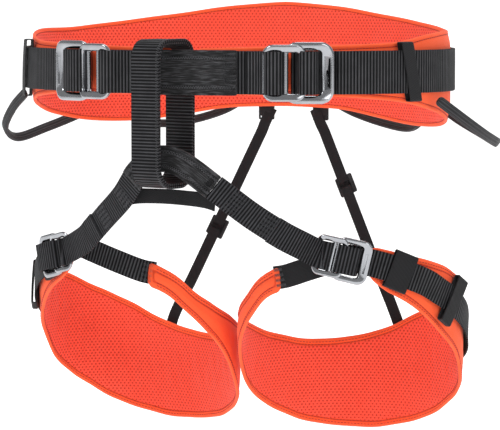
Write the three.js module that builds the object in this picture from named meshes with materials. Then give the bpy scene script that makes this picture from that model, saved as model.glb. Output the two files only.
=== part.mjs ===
// Tree climbing saddle: a padded waist belt, a tie-in loop, a leg bridge and two padded leg loops.
// Millimetres, +Z up. The origin is the centre of the wearer's waist, level with the middle of the
// belt webbing. The wearer faces -Y, and +X is the wearer's left.
import * as THREE from 'three';

const rad = THREE.MathUtils.degToRad;
const UP = new THREE.Vector3(0, 0, 1);

// The belt's inner face is an upright elliptic wall. Its bearing runs from 0 at the front centre,
// through 90 at +X, to 180 at the back.
const WAIST_HALF_WIDTH = 218;
const WAIST_HALF_DEPTH = 150;

// Each leg loop's inner face is an elliptic wall too. Its bearing runs from 0 at the inner thigh,
// through 90 at the back, to 180 at the outer thigh.
const LEG_X = 119;
const LEG_Y = 16;
const LEG_HALF_WIDTH = 112;
const LEG_HALF_DEPTH = 85;
const LEG_TURN = 19;

// Layers, as [inner, outer] distances out from the inner face.
const WAIST_LINING = [0, 1.5];
const WAIST_FOAM = [1.8, 7.6];
const WAIST_SHELL = [7.9, 8.9];
const WAIST_WEB = [11.2, 13.2];
const WAIST_TAIL = [13.6, 15.4];
const TIE_IN_SLEEVE = [13.6, 16.6];
const LEG_LINING = [0, 1.2];
const LEG_FOAM = [1.5, 5.6];
const LEG_SHELL = [5.9, 6.9];
const LEG_WEB = [9.8, 11.6];

// Top and bottom edges of the pads, as [bearing, height] pairs. The waist's bearing is mirrored
// past 180, and its two front ends meet behind the tie-in point.
const WAIST_TOP = [
  [0, 24], [44, 28], [63, 30], [74, 37], [90, 41], [108, 41], [125, 46], [147, 55], [163, 64], [180, 69],
];
const WAIST_BOTTOM = [
  [0, -22], [44, -25], [64, -31], [76, -39], [100, -55], [116, -63], [128, -65], [138, -64], [150, -58],
  [162, -50], [180, -48],
];
const LEG_TOP = [
  [-52, -198], [-36, -212], [-20, -236], [0, -254], [20, -268], [45, -284], [66, -293], [82, -293],
  [97, -289], [112, -280], [130, -262], [149, -247], [172, -229], [198, -213], [216, -199], [234, -190],
  [262, -177],
];
const LEG_BOTTOM = [
  [-52, -225], [-40, -234], [-26, -257], [-8, -284], [6, -308], [18, -335], [32, -354], [48, -370],
  [66, -384], [84, -390], [104, -392], [125, -384], [141, -373], [160, -353], [182, -329], [202, -292],
  [216, -274], [228, -254], [240, -237], [256, -221], [262, -208],
];
const LEG_WEB_CENTRE = [
  [105, -337], [140, -318], [170, -288], [198, -252], [216, -232], [234, -213], [255, -197], [270, -189],
];

const WAIST_STEP = 6;
const WAIST_PAD_FIRST = 2;
const LEG_STEP = 9;
const LEG_PAD_FIRST = -52;
const LEG_PAD_LAST = 263;

const WEB_WIDTH = 43;
const LEG_WEB_WIDTH = 28;
const BRIDGE_WIDTH = 27;
const SLEEVE_WIDTH = 22;
const RISER_WIDTH = 12.5;
const RISER_THICKNESS = 1.6;

const BLACK = { color: 0x26262a, roughness: 0.85, metalness: 0 };
const ORANGE = { color: 0xff5a30, roughness: 0.8, metalness: 0 };
const FOAM = { color: 0xd9d4c8, roughness: 0.95, metalness: 0 };
const METAL = { color: 0xc4c7cb, roughness: 0.32, metalness: 1 };
const PLASTIC = { color: 0x1c1c1f, roughness: 0.5, metalness: 0 };

const saddle = new THREE.Group();

function addPiece(name, geometry, finish, parent = saddle) {
  const piece = new THREE.Mesh(geometry, new THREE.MeshStandardMaterial(finish));
  piece.name = name;
  parent.add(piece);
  return piece;
}

// The height at a bearing, eased from pair to pair.
function heightAt(pairs, bearing) {
  let i = 1;
  while (i < pairs.length - 1 && bearing > pairs[i][0]) i += 1;
  const [from, low] = pairs[i - 1];
  const [to, high] = pairs[i];
  const part = THREE.MathUtils.smoothstep(bearing, from, to);
  const straight = THREE.MathUtils.clamp((bearing - from) / (to - from), 0, 1);
  return low + (high - low) * (0.35 * part + 0.65 * straight);
}

// A point on an elliptic wall, pushed out along the wall's normal.
function onWall(centre, sideways, forwards, halfWidth, halfDepth, angle, out, z) {
  const c = Math.cos(angle);
  const s = Math.sin(angle);
  const normal = sideways.clone().multiplyScalar(c / halfWidth);
  normal.addScaledVector(forwards, s / halfDepth).normalize();
  const point = centre.clone().addScaledVector(sideways, halfWidth * c);
  point.addScaledVector(forwards, halfDepth * s);
  return point.addScaledVector(normal, out).setZ(z);
}

function onWaist(bearing, out, z) {
  const centre = new THREE.Vector3();
  const front = new THREE.Vector3(0, -1, 0);
  const left = new THREE.Vector3(1, 0, 0);
  return onWall(centre, front, left, WAIST_HALF_DEPTH, WAIST_HALF_WIDTH, rad(bearing), out, z);
}

// side is 1 for the wearer's left leg, at +X, and -1 for the right leg.
function onLeg(side, bearing, out, z) {
  const turn = rad(LEG_TURN);
  const centre = new THREE.Vector3(side * LEG_X, LEG_Y, 0);
  const inward = new THREE.Vector3(-side * Math.cos(turn), -Math.sin(turn), 0);
  const rearward = new THREE.Vector3(-side * Math.sin(turn), Math.cos(turn), 0);
  return onWall(centre, inward, rearward, LEG_HALF_WIDTH, LEG_HALF_DEPTH, rad(bearing), out, z);
}

// A strip is a box whose length follows a path. place gets how far along it is, 0 to 1, and how far
// across and out, both -0.5 to 0.5.
function strip(steps, place) {
  const box = new THREE.BoxGeometry(1, 1, 1, steps, 1, 1);
  const corner = box.attributes.position;
  for (let i = 0; i < corner.count; i += 1) {
    const point = place(corner.getX(i) + 0.5, corner.getY(i), corner.getZ(i));
    corner.setXYZ(i, point.x, point.y, point.z);
  }
  box.computeVertexNormals();
  return box;
}

function between(pair, part) {
  return pair[0] + (pair[1] - pair[0]) * (part + 0.5);
}

// A strip on the waist wall. edges gives its bottom and top heights at a bearing.
function waistStrip(first, last, layer, edges, steps = Math.round((last - first) / WAIST_STEP)) {
  return strip(steps, (along, across, out) => {
    const bearing = first + (last - first) * along;
    return onWaist(bearing, between(layer, out), between(edges(bearing), across));
  });
}

function legStrip(side, first, last, layer, edges, steps = Math.round((last - first) / LEG_STEP)) {
  return strip(steps, (along, across, out) => {
    const bearing = first + (last - first) * (side < 0 ? along : 1 - along);
    return onLeg(side, bearing, between(layer, out), between(edges(bearing), across));
  });
}

// A flat ribbon along part of a curve. outward gives the way its face looks at a point.
function ribbon(curve, from, to, width, thickness, steps, outward) {
  return strip(steps, (along, across, out) => {
    const t = from + (to - from) * along;
    const point = curve.getPointAt(t);
    const tangent = curve.getTangentAt(t);
    const wide = outward(point).cross(tangent).normalize();
    const normal = tangent.clone().cross(wide);
    return point.addScaledVector(wide, across * width).addScaledVector(normal, out * thickness);
  });
}

function roundedRectangle(path, width, height, corner, x = 0, y = 0, topCorner = corner) {
  const w = width / 2;
  const h = height / 2;
  path.moveTo(x - w + corner, y - h);
  path.lineTo(x + w - corner, y - h);
  path.absarc(x + w - corner, y - h + corner, corner, -Math.PI / 2, 0, false);
  path.lineTo(x + w, y + h - topCorner);
  path.absarc(x + w - topCorner, y + h - topCorner, topCorner, 0, Math.PI / 2, false);
  path.lineTo(x - w + topCorner, y + h);
  path.absarc(x - w + topCorner, y + h - topCorner, topCorner, Math.PI / 2, Math.PI, false);
  path.lineTo(x - w, y - h + corner);
  path.absarc(x - w + corner, y - h + corner, corner, Math.PI, Math.PI * 1.5, false);
  return path;
}

// A plate with rounded windows, its back face at z = 0. Each window is [x, y, width, height].
function framePlate(width, height, corner, thickness, windows) {
  const outline = roundedRectangle(new THREE.Shape(), width, height, corner);
  const windowCorner = 2.5;
  for (const [x, y, w, h] of windows) {
    outline.holes.push(roundedRectangle(new THREE.Path(), w, h, windowCorner, x, y));
  }
  return new THREE.ExtrudeGeometry(outline, { depth: thickness, bevelEnabled: false, curveSegments: 3 });
}

// A group whose X runs along a strap, Y across it and Z out from it.
function facing(origin, along, outward) {
  const seat = new THREE.Group();
  const across = outward.clone().cross(along).normalize();
  const normal = along.clone().cross(across).normalize();
  seat.position.copy(origin);
  seat.quaternion.setFromRotationMatrix(new THREE.Matrix4().makeBasis(along, across, normal));
  saddle.add(seat);
  return seat;
}

function sideName(side) {
  return side > 0 ? 'left' : 'right';
}

function waistPad() {
  const edges = (bearing) => {
    const fromFront = bearing > 180 ? 360 - bearing : bearing;
    return [heightAt(WAIST_BOTTOM, fromFront), heightAt(WAIST_TOP, fromFront)];
  };
  const last = 360 - WAIST_PAD_FIRST;
  addPiece('waist_pad_lining', waistStrip(WAIST_PAD_FIRST, last, WAIST_LINING, edges), ORANGE);
  addPiece('waist_pad_foam', waistStrip(WAIST_PAD_FIRST, last, WAIST_FOAM, edges), FOAM);
  addPiece('waist_pad_shell', waistStrip(WAIST_PAD_FIRST, last, WAIST_SHELL, edges), ORANGE);
}

const BUCKLE_BEARING = 30;
const WEB_GAP = 0.5;
// The right buckle's slider is pulled further along its strap than the left one's.
const BUCKLE_SEAT = { 1: 29.5, '-1': 32 };
const SLIDER_SPREAD = { 1: 0, '-1': 9 };
const TAIL_FIRST = 42;
const TAIL_LAST = 90;
const SLEEVE_FIRST = -12;
const SLEEVE_LAST = 15;
const SLEEVE_OVERHANG = 1;

function waistWebbing() {
  const half = WEB_WIDTH / 2;
  const edges = () => [-half, half];
  const backFirst = BUCKLE_BEARING + WEB_GAP;
  addPiece('waist_webbing_front', waistStrip(-BUCKLE_BEARING, BUCKLE_BEARING, WAIST_WEB, edges), BLACK);
  addPiece('waist_webbing_back', waistStrip(backFirst, 360 - backFirst, WAIST_WEB, edges), BLACK);
  addPiece('waist_tail_left', waistStrip(TAIL_FIRST, TAIL_LAST, WAIST_TAIL, edges), BLACK);
  addPiece('waist_tail_right', waistStrip(-TAIL_LAST, -TAIL_FIRST, WAIST_TAIL, edges), BLACK);
  const sleeveEdges = () => [-half - SLEEVE_OVERHANG, half];
  addPiece('tie_in_sleeve', waistStrip(SLEEVE_FIRST, SLEEVE_LAST, TIE_IN_SLEEVE, sleeveEdges), BLACK);
}

// A buckle is a large frame with the strap's crossbar, and a smaller slider that tips on it.
const BUCKLE_FRAME = { width: 50, height: 61, corner: 11, thickness: 4, bar: 8 };
const BUCKLE_SLIDER = { width: 38, height: 56, corner: 7, thickness: 4, bar: 6 };
const BUCKLE_PLAY = 0.5;
const FRAME_SHIFT = 8;
const SLIDER_SHIFT = 12;
const LEG_BUCKLE_SCALE = 0.74;

function bucklePlate(size) {
  const window = [0, 0, size.width - 2 * size.bar, size.height - 2 * size.bar];
  return framePlate(size.width, size.height, size.corner, size.thickness, [window]);
}

function buckle(prefix, seat, toOuter, scale, frameSpread, sliderSpread) {
  const frame = addPiece(`${prefix}_frame`, bucklePlate(BUCKLE_FRAME), METAL, seat);
  frame.position.set(toOuter * (FRAME_SHIFT + frameSpread) * scale, 0, 0);
  frame.scale.setScalar(scale);
  const slider = addPiece(`${prefix}_slider`, bucklePlate(BUCKLE_SLIDER), METAL, seat);
  const sliderX = -toOuter * (SLIDER_SHIFT + sliderSpread) * scale;
  slider.position.set(sliderX, 0, (BUCKLE_FRAME.thickness + BUCKLE_PLAY) * scale);
  slider.scale.setScalar(scale);
}

function waistBuckles() {
  for (const side of [1, -1]) {
    const seatOut = WAIST_TAIL[1] + 2;
    const bearing = side * BUCKLE_SEAT[side];
    const origin = onWaist(bearing, seatOut, 0);
    const along = onWaist(bearing + 1, seatOut, 0).sub(onWaist(bearing - 1, seatOut, 0)).normalize();
    const seat = facing(origin, along, along.clone().cross(UP));
    buckle(`waist_buckle_${sideName(side)}`, seat, side, 1, 0, SLIDER_SPREAD[side]);
  }
}

// An elastic keeper is a flat tube round a strap: a rectangle with a slot, as deep as the keeper is
// wide.
function keeperTube(clear, strapWidth, depth) {
  const wall = 1.1;
  const outline = roundedRectangle(new THREE.Shape(), clear + 2 * wall, strapWidth + 2 * wall, 1);
  outline.holes.push(roundedRectangle(new THREE.Path(), clear, strapWidth, 0.5));
  const tube = new THREE.ExtrudeGeometry(outline, { depth, bevelEnabled: false, curveSegments: 1 });
  tube.translate(0, 0, -depth / 2);
  tube.rotateY(Math.PI / 2);
  return tube;
}

const WAIST_KEEPER_BEARING = 65;

function waistKeepers() {
  for (const side of [1, -1]) {
    const bearing = side * WAIST_KEEPER_BEARING;
    const middle = (WAIST_WEB[0] + WAIST_TAIL[1]) / 2;
    const along = onWaist(bearing + 1, middle, 0).sub(onWaist(bearing - 1, middle, 0)).normalize();
    const seat = facing(onWaist(bearing, middle, 0), along, along.clone().cross(UP));
    const clear = WAIST_TAIL[1] - WAIST_WEB[0] + 1.4;
    addPiece(`waist_keeper_${sideName(side)}`, keeperTube(clear, WEB_WIDTH + 2, 14), BLACK, seat);
  }
}

// The tie-in loop is a ring of stitched webbing round the belt and the leg bridge.
const LOOP = { width: 33, thickness: 5, depth: 64, top: 33, bottom: -115.5, corner: 24, topCorner: 12 };
const LOOP_PLACE = { x: -19, y: -166, turn: -14 };

function tieInLoop() {
  const height = LOOP.top - LOOP.bottom;
  const wall = LOOP.thickness;
  const outline = roundedRectangle(new THREE.Shape(), LOOP.depth, height, LOOP.corner, 0, 0, LOOP.topCorner);
  const inside = roundedRectangle(new THREE.Path(), LOOP.depth - 2 * wall, height - 2 * wall,
    LOOP.corner - wall, 0, 0, LOOP.topCorner - wall);
  outline.holes.push(inside);
  const settings = { depth: LOOP.width, bevelEnabled: false, curveSegments: 7 };
  const ring = new THREE.ExtrudeGeometry(outline, settings);
  ring.translate(0, 0, -LOOP.width / 2);
  ring.rotateX(Math.PI / 2);
  ring.rotateZ(Math.PI / 2);
  const loop = addPiece('tie_in_loop', ring, BLACK);
  loop.position.set(LOOP_PLACE.x, LOOP_PLACE.y, (LOOP.top + LOOP.bottom) / 2);
  loop.rotation.z = rad(LOOP_PLACE.turn);
}

// The leg bridge runs from buckle to buckle through the tie-in loop.
const BRIDGE = new THREE.CatmullRomCurve3([
  new THREE.Vector3(-147, -91, -187),
  new THREE.Vector3(-128, -108, -175),
  new THREE.Vector3(-97, -132, -150),
  new THREE.Vector3(-69, -152, -127),
  new THREE.Vector3(-44, -169, -100),
  new THREE.Vector3(-19, -176, -86),
  new THREE.Vector3(6, -177, -91),
  new THREE.Vector3(39, -168, -116),
  new THREE.Vector3(69, -148, -143),
  new THREE.Vector3(97, -123, -166),
  new THREE.Vector3(112, -107, -176),
  new THREE.Vector3(122, -97, -181),
]);
const SLEEVE_FROM = 0.37;
const SLEEVE_TO = 0.66;

function bridgeOutward(point) {
  return new THREE.Vector3(point.x / 340, -1, 0).normalize();
}

function legBridge() {
  const seam = 0.004;
  addPiece('bridge_sleeve', ribbon(BRIDGE, SLEEVE_FROM, SLEEVE_TO, SLEEVE_WIDTH, 5, 8, bridgeOutward), BLACK);
  const thickness = 2.4;
  const left = ribbon(BRIDGE, SLEEVE_TO + seam, 1, BRIDGE_WIDTH, thickness, 8, bridgeOutward);
  const right = ribbon(BRIDGE, 0, SLEEVE_FROM - seam, BRIDGE_WIDTH, thickness, 8, bridgeOutward);
  addPiece('bridge_strap_left', left, BLACK);
  addPiece('bridge_strap_right', right, BLACK);
  const bar = new THREE.CatmullRomCurve3([
    new THREE.Vector3(-66, -147, -126),
    new THREE.Vector3(-18, -156, -125),
    new THREE.Vector3(34, -160, -128),
  ]);
  addPiece('bridge_crossbar', ribbon(bar, 0, 1, 15, 2.4, 5, bridgeOutward), BLACK);
}

function legPad(side) {
  const edges = (bearing) => [heightAt(LEG_BOTTOM, bearing), heightAt(LEG_TOP, bearing)];
  const name = `leg_pad_${sideName(side)}`;
  addPiece(`${name}_lining`, legStrip(side, LEG_PAD_FIRST, LEG_PAD_LAST, LEG_LINING, edges), ORANGE);
  addPiece(`${name}_foam`, legStrip(side, LEG_PAD_FIRST, LEG_PAD_LAST, LEG_FOAM, edges), FOAM);
  addPiece(`${name}_shell`, legStrip(side, LEG_PAD_FIRST, LEG_PAD_LAST, LEG_SHELL, edges), ORANGE);
}

const LEG_WEB_FIRST = 105;
// The two leg straps are pulled to different lengths, so their buckles sit differently.
const LEG_BUCKLE_BEARING = { 1: 275, '-1': 257 };

function legStraps(side) {
  const name = sideName(side);
  const half = LEG_WEB_WIDTH / 2;
  const edges = (bearing) => {
    const centre = heightAt(LEG_WEB_CENTRE, bearing);
    return [centre - half, centre + half];
  };
  const webbing = legStrip(side, LEG_WEB_FIRST, LEG_BUCKLE_BEARING[side], LEG_WEB, edges);
  addPiece(`leg_webbing_${name}`, webbing, BLACK);
  const tab = new THREE.CatmullRomCurve3([
    onLeg(side, -55, 3.5, -213),
    onLeg(side, -68, 4, -203),
    onLeg(side, -82, 4, -193),
  ]);
  const outward = (point) => onLeg(side, -70, 1, 0).sub(onLeg(side, -70, 0, 0)).normalize();
  const curve = side < 0 ? new THREE.CatmullRomCurve3([...tab.points].reverse()) : tab;
  addPiece(`leg_tab_${name}`, ribbon(curve, 0, 1, 24, 2, 4, outward), BLACK);
}

function legBuckle(side) {
  const seatOut = LEG_WEB[1] + 3;
  const bearing = LEG_BUCKLE_BEARING[side];
  const height = heightAt(LEG_WEB_CENTRE, bearing);
  const origin = onLeg(side, bearing, seatOut, height);
  const ahead = onLeg(side, bearing - 4, seatOut, height - 2);
  const along = ahead.sub(origin).normalize();
  if (side < 0) along.negate();
  const outward = onLeg(side, bearing, 1, 0).sub(onLeg(side, bearing, 0, 0));
  buckle(`leg_buckle_${sideName(side)}`, facing(origin, along, outward), side, LEG_BUCKLE_SCALE, 6, 6);
}

function legKeeper(side, label, bearing, width, strapWidth) {
  const middle = (LEG_WEB[0] + LEG_WEB[1]) / 2;
  const height = heightAt(LEG_WEB_CENTRE, bearing);
  const before = onLeg(side, bearing + 3, middle, heightAt(LEG_WEB_CENTRE, bearing + 3));
  const after = onLeg(side, bearing - 3, middle, heightAt(LEG_WEB_CENTRE, bearing - 3));
  const along = after.sub(before).normalize();
  if (side < 0) along.negate();
  const outward = onLeg(side, bearing, 1, 0).sub(onLeg(side, bearing, 0, 0));
  const seat = facing(onLeg(side, bearing, middle, height), along, outward);
  const clear = LEG_WEB[1] - LEG_WEB[0] + 2.4;
  addPiece(`leg_keeper_${label}_${sideName(side)}`, keeperTube(clear, strapWidth, width), BLACK, seat);
}

// Two elastic risers hold the leg loops up at the back. Each has a hook on the belt and an adjuster.
const RISERS = {
  left: { top: [38, 161.5, -64], bottom: [143, 118, -284], end: [143, 117, -312], adjusterHeight: -132 },
  right: { top: [-25, 161.5, -64], bottom: [-120, 118, -284], end: [-120, 117, -312], adjusterHeight: -181 },
};

function riser(name) {
  const route = RISERS[name];
  const top = new THREE.Vector3(...route.top);
  const bottom = new THREE.Vector3(...route.bottom);
  const middle = top.clone().lerp(bottom, (route.adjusterHeight - top.z) / (bottom.z - top.z));
  const outward = () => new THREE.Vector3(0, 1, 0);
  const uphill = top.clone().sub(bottom).normalize();
  const belowHook = top.clone().addScaledVector(uphill, -2);
  const upper = new THREE.LineCurve3(belowHook, middle.clone().addScaledVector(uphill, 0.5));
  const end = new THREE.Vector3(...route.end);
  const lower = new THREE.CatmullRomCurve3([middle.clone().addScaledVector(uphill, -0.5), bottom, end]);
  addPiece(`riser_upper_${name}`, ribbon(upper, 0, 1, RISER_WIDTH, RISER_THICKNESS, 3, outward), BLACK);
  addPiece(`riser_lower_${name}`, ribbon(lower, 0, 1, RISER_WIDTH, RISER_THICKNESS, 7, outward), BLACK);
  const seat = facing(middle, uphill.clone().negate(), outward());
  const slots = [[-6, 0, 5, 15], [6, 0, 5, 15]];
  const lock = addPiece(`riser_adjuster_${name}`, framePlate(24, 21, 2, 3, slots), PLASTIC, seat);
  lock.position.z = RISER_THICKNESS / 2 + 0.4;
  const hookSeat = facing(top, new THREE.Vector3(0, 0, -1), outward());
  const hookPlate = framePlate(20, 22, 3, 3.4, [[-3, 0, 5, 14]]);
  const hook = addPiece(`riser_hook_${name}`, hookPlate, PLASTIC, hookSeat);
  hook.position.set(-11.5, 0, -1.7);
}

// Gear loops are stiff moulded cords. Each point is [bearing, out, height] on the waist wall.
const REAR_LOOP = [
  [168, 14, -38], [161, 22, -53], [152, 28, -64], [143, 28, -68], [136, 22, -60], [131, 14, -44],
];
const GEAR_LOOPS = {
  gear_loop_side_left: [
    [76, 20, -29], [85, 34, -50], [95, 46, -67], [105, 58, -77], [113, 50, -70], [120, 30, -54],
    [125, 15, -38],
  ],
  gear_loop_side_right: [
    [-82, 17, -28], [-88, 38, -46], [-93, 56, -68], [-99, 56, -80], [-107, 41, -70], [-115, 28, -58],
    [-123, 15, -44],
  ],
  gear_loop_rear_left: REAR_LOOP,
  gear_loop_rear_right: REAR_LOOP.map(([bearing, out, z]) => [-bearing, out, z]),
};

function gearLoop(name) {
  const places = GEAR_LOOPS[name].map(([bearing, out, z]) => onWaist(bearing, out, z));
  const route = new THREE.CatmullRomCurve3(places);
  const section = roundedRectangle(new THREE.Shape(), 5, 8, 2);
  const cord = new THREE.ExtrudeGeometry(section, { steps: 22, extrudePath: route, curveSegments: 1 });
  addPiece(name, cord, PLASTIC);
}

waistPad();
waistWebbing();
waistBuckles();
waistKeepers();
tieInLoop();
legBridge();
for (const side of [1, -1]) {
  legPad(side);
  legStraps(side);
  legBuckle(side);
  legKeeper(side, 'wide', 246, 22, LEG_WEB_WIDTH + 2);
  legKeeper(side, 'slant', 211, 14, LEG_WEB_WIDTH + 6);
}
Object.keys(RISERS).forEach(riser);
Object.keys(GEAR_LOOPS).forEach(gearLoop);

export default saddle;
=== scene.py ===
import math

import bpy
import numpy as np
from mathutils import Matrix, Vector
from mathutils.bvhtree import BVHTree


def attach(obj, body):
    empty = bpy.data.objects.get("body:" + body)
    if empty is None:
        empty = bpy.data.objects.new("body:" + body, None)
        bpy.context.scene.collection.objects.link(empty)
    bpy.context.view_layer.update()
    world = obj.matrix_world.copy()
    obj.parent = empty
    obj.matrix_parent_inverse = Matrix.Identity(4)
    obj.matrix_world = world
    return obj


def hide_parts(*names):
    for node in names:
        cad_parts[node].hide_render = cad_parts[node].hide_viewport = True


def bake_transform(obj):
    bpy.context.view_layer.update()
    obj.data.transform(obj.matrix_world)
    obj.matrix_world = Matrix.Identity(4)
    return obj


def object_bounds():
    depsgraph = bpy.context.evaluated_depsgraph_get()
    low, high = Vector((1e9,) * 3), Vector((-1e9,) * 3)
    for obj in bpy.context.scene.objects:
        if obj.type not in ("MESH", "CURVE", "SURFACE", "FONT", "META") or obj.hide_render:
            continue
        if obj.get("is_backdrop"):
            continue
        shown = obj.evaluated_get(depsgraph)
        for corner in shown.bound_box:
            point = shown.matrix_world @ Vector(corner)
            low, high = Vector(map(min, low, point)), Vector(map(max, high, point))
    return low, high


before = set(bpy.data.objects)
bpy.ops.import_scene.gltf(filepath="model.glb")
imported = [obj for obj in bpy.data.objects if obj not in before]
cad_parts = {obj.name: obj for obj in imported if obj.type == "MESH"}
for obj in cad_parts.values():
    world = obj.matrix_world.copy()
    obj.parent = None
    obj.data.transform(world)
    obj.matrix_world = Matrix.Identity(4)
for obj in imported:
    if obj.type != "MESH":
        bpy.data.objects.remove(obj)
cad_low, cad_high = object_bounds()


# ---- Studio ----------------------------------------------------------------------------------
# A white paper sweep runs from the floor up behind the saddle. Three large soft lights and an even
# white surround light it. Nothing here belongs to the saddle.

CAMERA_BEARING = math.radians(20)
CAMERA_RISE = math.radians(1.8)
CAMERA_DISTANCE = 3.0
AIM = Vector((0.0135, -0.0003, -0.1549))
FLOOR_DROP = 0.004
PAPER = (0.93, 0.93, 0.93, 1)
PAPER_GLOW = 0.62
PAPER_WIDTH = 60
PAPER_DEPTH = 50
PAPER_SHIFT = -5
PAPER_RISE = 14
PAPER_FOLD = 3
SURROUND_GLOW = 0.42

camera_data = bpy.data.cameras.new("camera")
camera_data.lens = 205.7
camera_data.sensor_width = 36
camera = bpy.data.objects.new("camera", camera_data)
bpy.context.scene.collection.objects.link(camera)
camera.location = CAMERA_DISTANCE * Vector((
    math.sin(CAMERA_BEARING) * math.cos(CAMERA_RISE),
    -math.cos(CAMERA_BEARING) * math.cos(CAMERA_RISE),
    math.sin(CAMERA_RISE),
))
camera.rotation_mode = "QUATERNION"
camera.rotation_quaternion = (AIM - camera.location).to_track_quat("-Z", "Y")
bpy.context.scene.camera = camera
bpy.context.scene.view_settings.view_transform = "Standard"


def add_light(name, place, size, power):
    data = bpy.data.lights.new(name, "AREA")
    data.shape = "DISK"
    data.size = size
    data.energy = power
    light = bpy.data.objects.new(name, data)
    bpy.context.scene.collection.objects.link(light)
    light.location = place
    light.rotation_mode = "QUATERNION"
    light.rotation_quaternion = (Vector((0, 0, -0.15)) - light.location).to_track_quat("-Z", "Y")


add_light("key_light", Vector((-0.9, -2.2, 1.7)), 1.1, 34)
add_light("fill_light", Vector((2.3, -1.5, 0.7)), 1.3, 15)
add_light("top_light", Vector((0.1, 0.7, 2.2)), 1.4, 20)

world = bpy.data.worlds.new("surround")
bpy.context.scene.world = world
world.use_nodes = True
world.node_tree.nodes["Background"].inputs["Color"].default_value = (1, 1, 1, 1)
world.node_tree.nodes["Background"].inputs["Strength"].default_value = SURROUND_GLOW

bpy.ops.object.select_all(action="DESELECT")
bpy.ops.mesh.primitive_plane_add(size=1, location=(0, 0, 0))
sweep = bpy.context.object
sweep.name = "paper_sweep"
sweep.data.transform(sweep.matrix_world)
floor_height = cad_low.z - FLOOR_DROP
for corner in sweep.data.vertices:
    corner.co = (corner.co.x * PAPER_WIDTH, corner.co.y * PAPER_DEPTH + PAPER_SHIFT, floor_height)
bpy.ops.object.mode_set(mode="EDIT")
bpy.ops.mesh.select_all(action="DESELECT")
bpy.ops.object.mode_set(mode="OBJECT")
for edge in sweep.data.edges:
    edge.select = all(sweep.data.vertices[i].co.y > 0 for i in edge.vertices)
bpy.ops.object.mode_set(mode="EDIT")
bpy.ops.mesh.select_mode(type="EDGE")
bpy.ops.mesh.extrude_region_move(TRANSFORM_OT_translate={"value": (0, 0, PAPER_RISE)})
bpy.ops.mesh.select_all(action="SELECT")
bpy.ops.object.mode_set(mode="OBJECT")
round_fold = sweep.modifiers.new("fold", "BEVEL")
round_fold.width = PAPER_FOLD
round_fold.segments = 12
bpy.ops.object.modifier_apply(modifier=round_fold.name)
bpy.ops.object.shade_smooth()
paper = bpy.data.materials.new("paper")
paper.use_nodes = True
paper_shader = paper.node_tree.nodes["Principled BSDF"]
paper_shader.inputs["Base Color"].default_value = PAPER
paper_shader.inputs["Roughness"].default_value = 0.9
paper_shader.inputs["Emission Color"].default_value = (1, 1, 1, 1)
paper_shader.inputs["Emission Strength"].default_value = PAPER_GLOW
sweep.data.materials.append(paper)
sweep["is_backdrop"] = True


# ---- Padded waist belt -----------------------------------------------------------------------
# A die-cut foam core between a perforated spacer mesh, which faces the wearer, and a smooth
# stretch shell. The shell is rolled over the edge and sewn through all the layers, which leaves
# a flat border and a pinched stitch line all round.

WAIST_HALF_WIDTH = 0.218
WAIST_HALF_DEPTH = 0.150
WAIST_TOP = np.array([
    (0, 24), (44, 28), (63, 30), (74, 37), (90, 41), (108, 41), (125, 46), (147, 55), (163, 64), (180, 69),
]) * (1, 0.001)
WAIST_BOTTOM = np.array([
    (0, -22), (44, -25), (64, -31), (76, -39), (100, -55), (116, -63), (128, -65), (138, -64), (150, -58),
    (162, -50), (180, -48),
]) * (1, 0.001)
WAIST_PAD_THICKNESS = 0.0089
WAIST_BORDER = 0.0050
BORDER_THICKNESS = 0.0036
SPACER_ORANGE = (1.0, 0.088, 0.046, 1)
SPACER_HOLE = (0.58, 0.010, 0.002, 1)
# Painted shade for the pinched stitch line round the pads.
PAINTED_SEAM_SHADE = (0.55, 0.022, 0.006, 1)
SHELL_ORANGE = (1.0, 0.112, 0.030, 1)
PALE_SPACER = (1.0, 0.16, 0.09, 1)
PALE_SHELL = (1.0, 0.17, 0.06, 1)
WORN_ORANGE = (0.78, 0.050, 0.018, 1)
HOLE_PITCH = 0.0043
HOLE_ROW = 0.0031
HOLE_RADIUS = 0.00098
EDGE_ROLL = 0.002
CROWN_RUN = 0.012
FOAM_ALLOWANCE = 0.001
FOAM_PRESSURE = 4.0
FOAM_RISE = 0.0011
SEWN_EDGE = 0.006
SETTLE_STEPS = 20
PINCH_DEPTH = 0.0007
PINCH_RUN = 0.0012
WAIST_ENDS = (2, 358)


def add_node(tree, kind, inputs=(), **settings):
    made = tree.nodes.new(kind)
    for name, value in settings.items():
        setattr(made, name, value)
    for name, value in dict(inputs).items():
        if isinstance(value, bpy.types.NodeSocket):
            tree.links.new(value, made.inputs[name])
        else:
            made.inputs[name].default_value = value
    return made


def maths(tree, operation, first, second=0.0, third=0.0):
    return add_node(tree, "ShaderNodeMath", {0: first, 1: second, 2: third}, operation=operation).outputs[0]


def mix_colours(tree, share, first, second):
    made = add_node(tree, "ShaderNodeMix", {0: share, 6: first, 7: second}, data_type="RGBA")
    return made.outputs[2]


def step_up(tree, value, low, high):
    made = add_node(tree, "ShaderNodeMapRange", {0: value, 1: low, 2: high}, interpolation_type="SMOOTHSTEP")
    return made.outputs[0]


def new_group(name, inputs, outputs):
    group = bpy.data.node_groups.new(name, "ShaderNodeTree")
    for socket in inputs:
        kind = "NodeSocketVector" if socket == "Vector" else "NodeSocketFloat"
        group.interface.new_socket(socket, in_out="INPUT", socket_type=kind)
    for socket in outputs:
        group.interface.new_socket(socket, in_out="OUTPUT", socket_type="NodeSocketFloat")
    return group, add_node(group, "NodeGroupInput"), add_node(group, "NodeGroupOutput")


def place_group(tree, group, **inputs):
    made = add_node(tree, "ShaderNodeGroup", node_tree=group)
    for name, value in inputs.items():
        if isinstance(value, bpy.types.NodeSocket):
            tree.links.new(value, made.inputs[name])
        else:
            made.inputs[name].default_value = value
    return made


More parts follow.
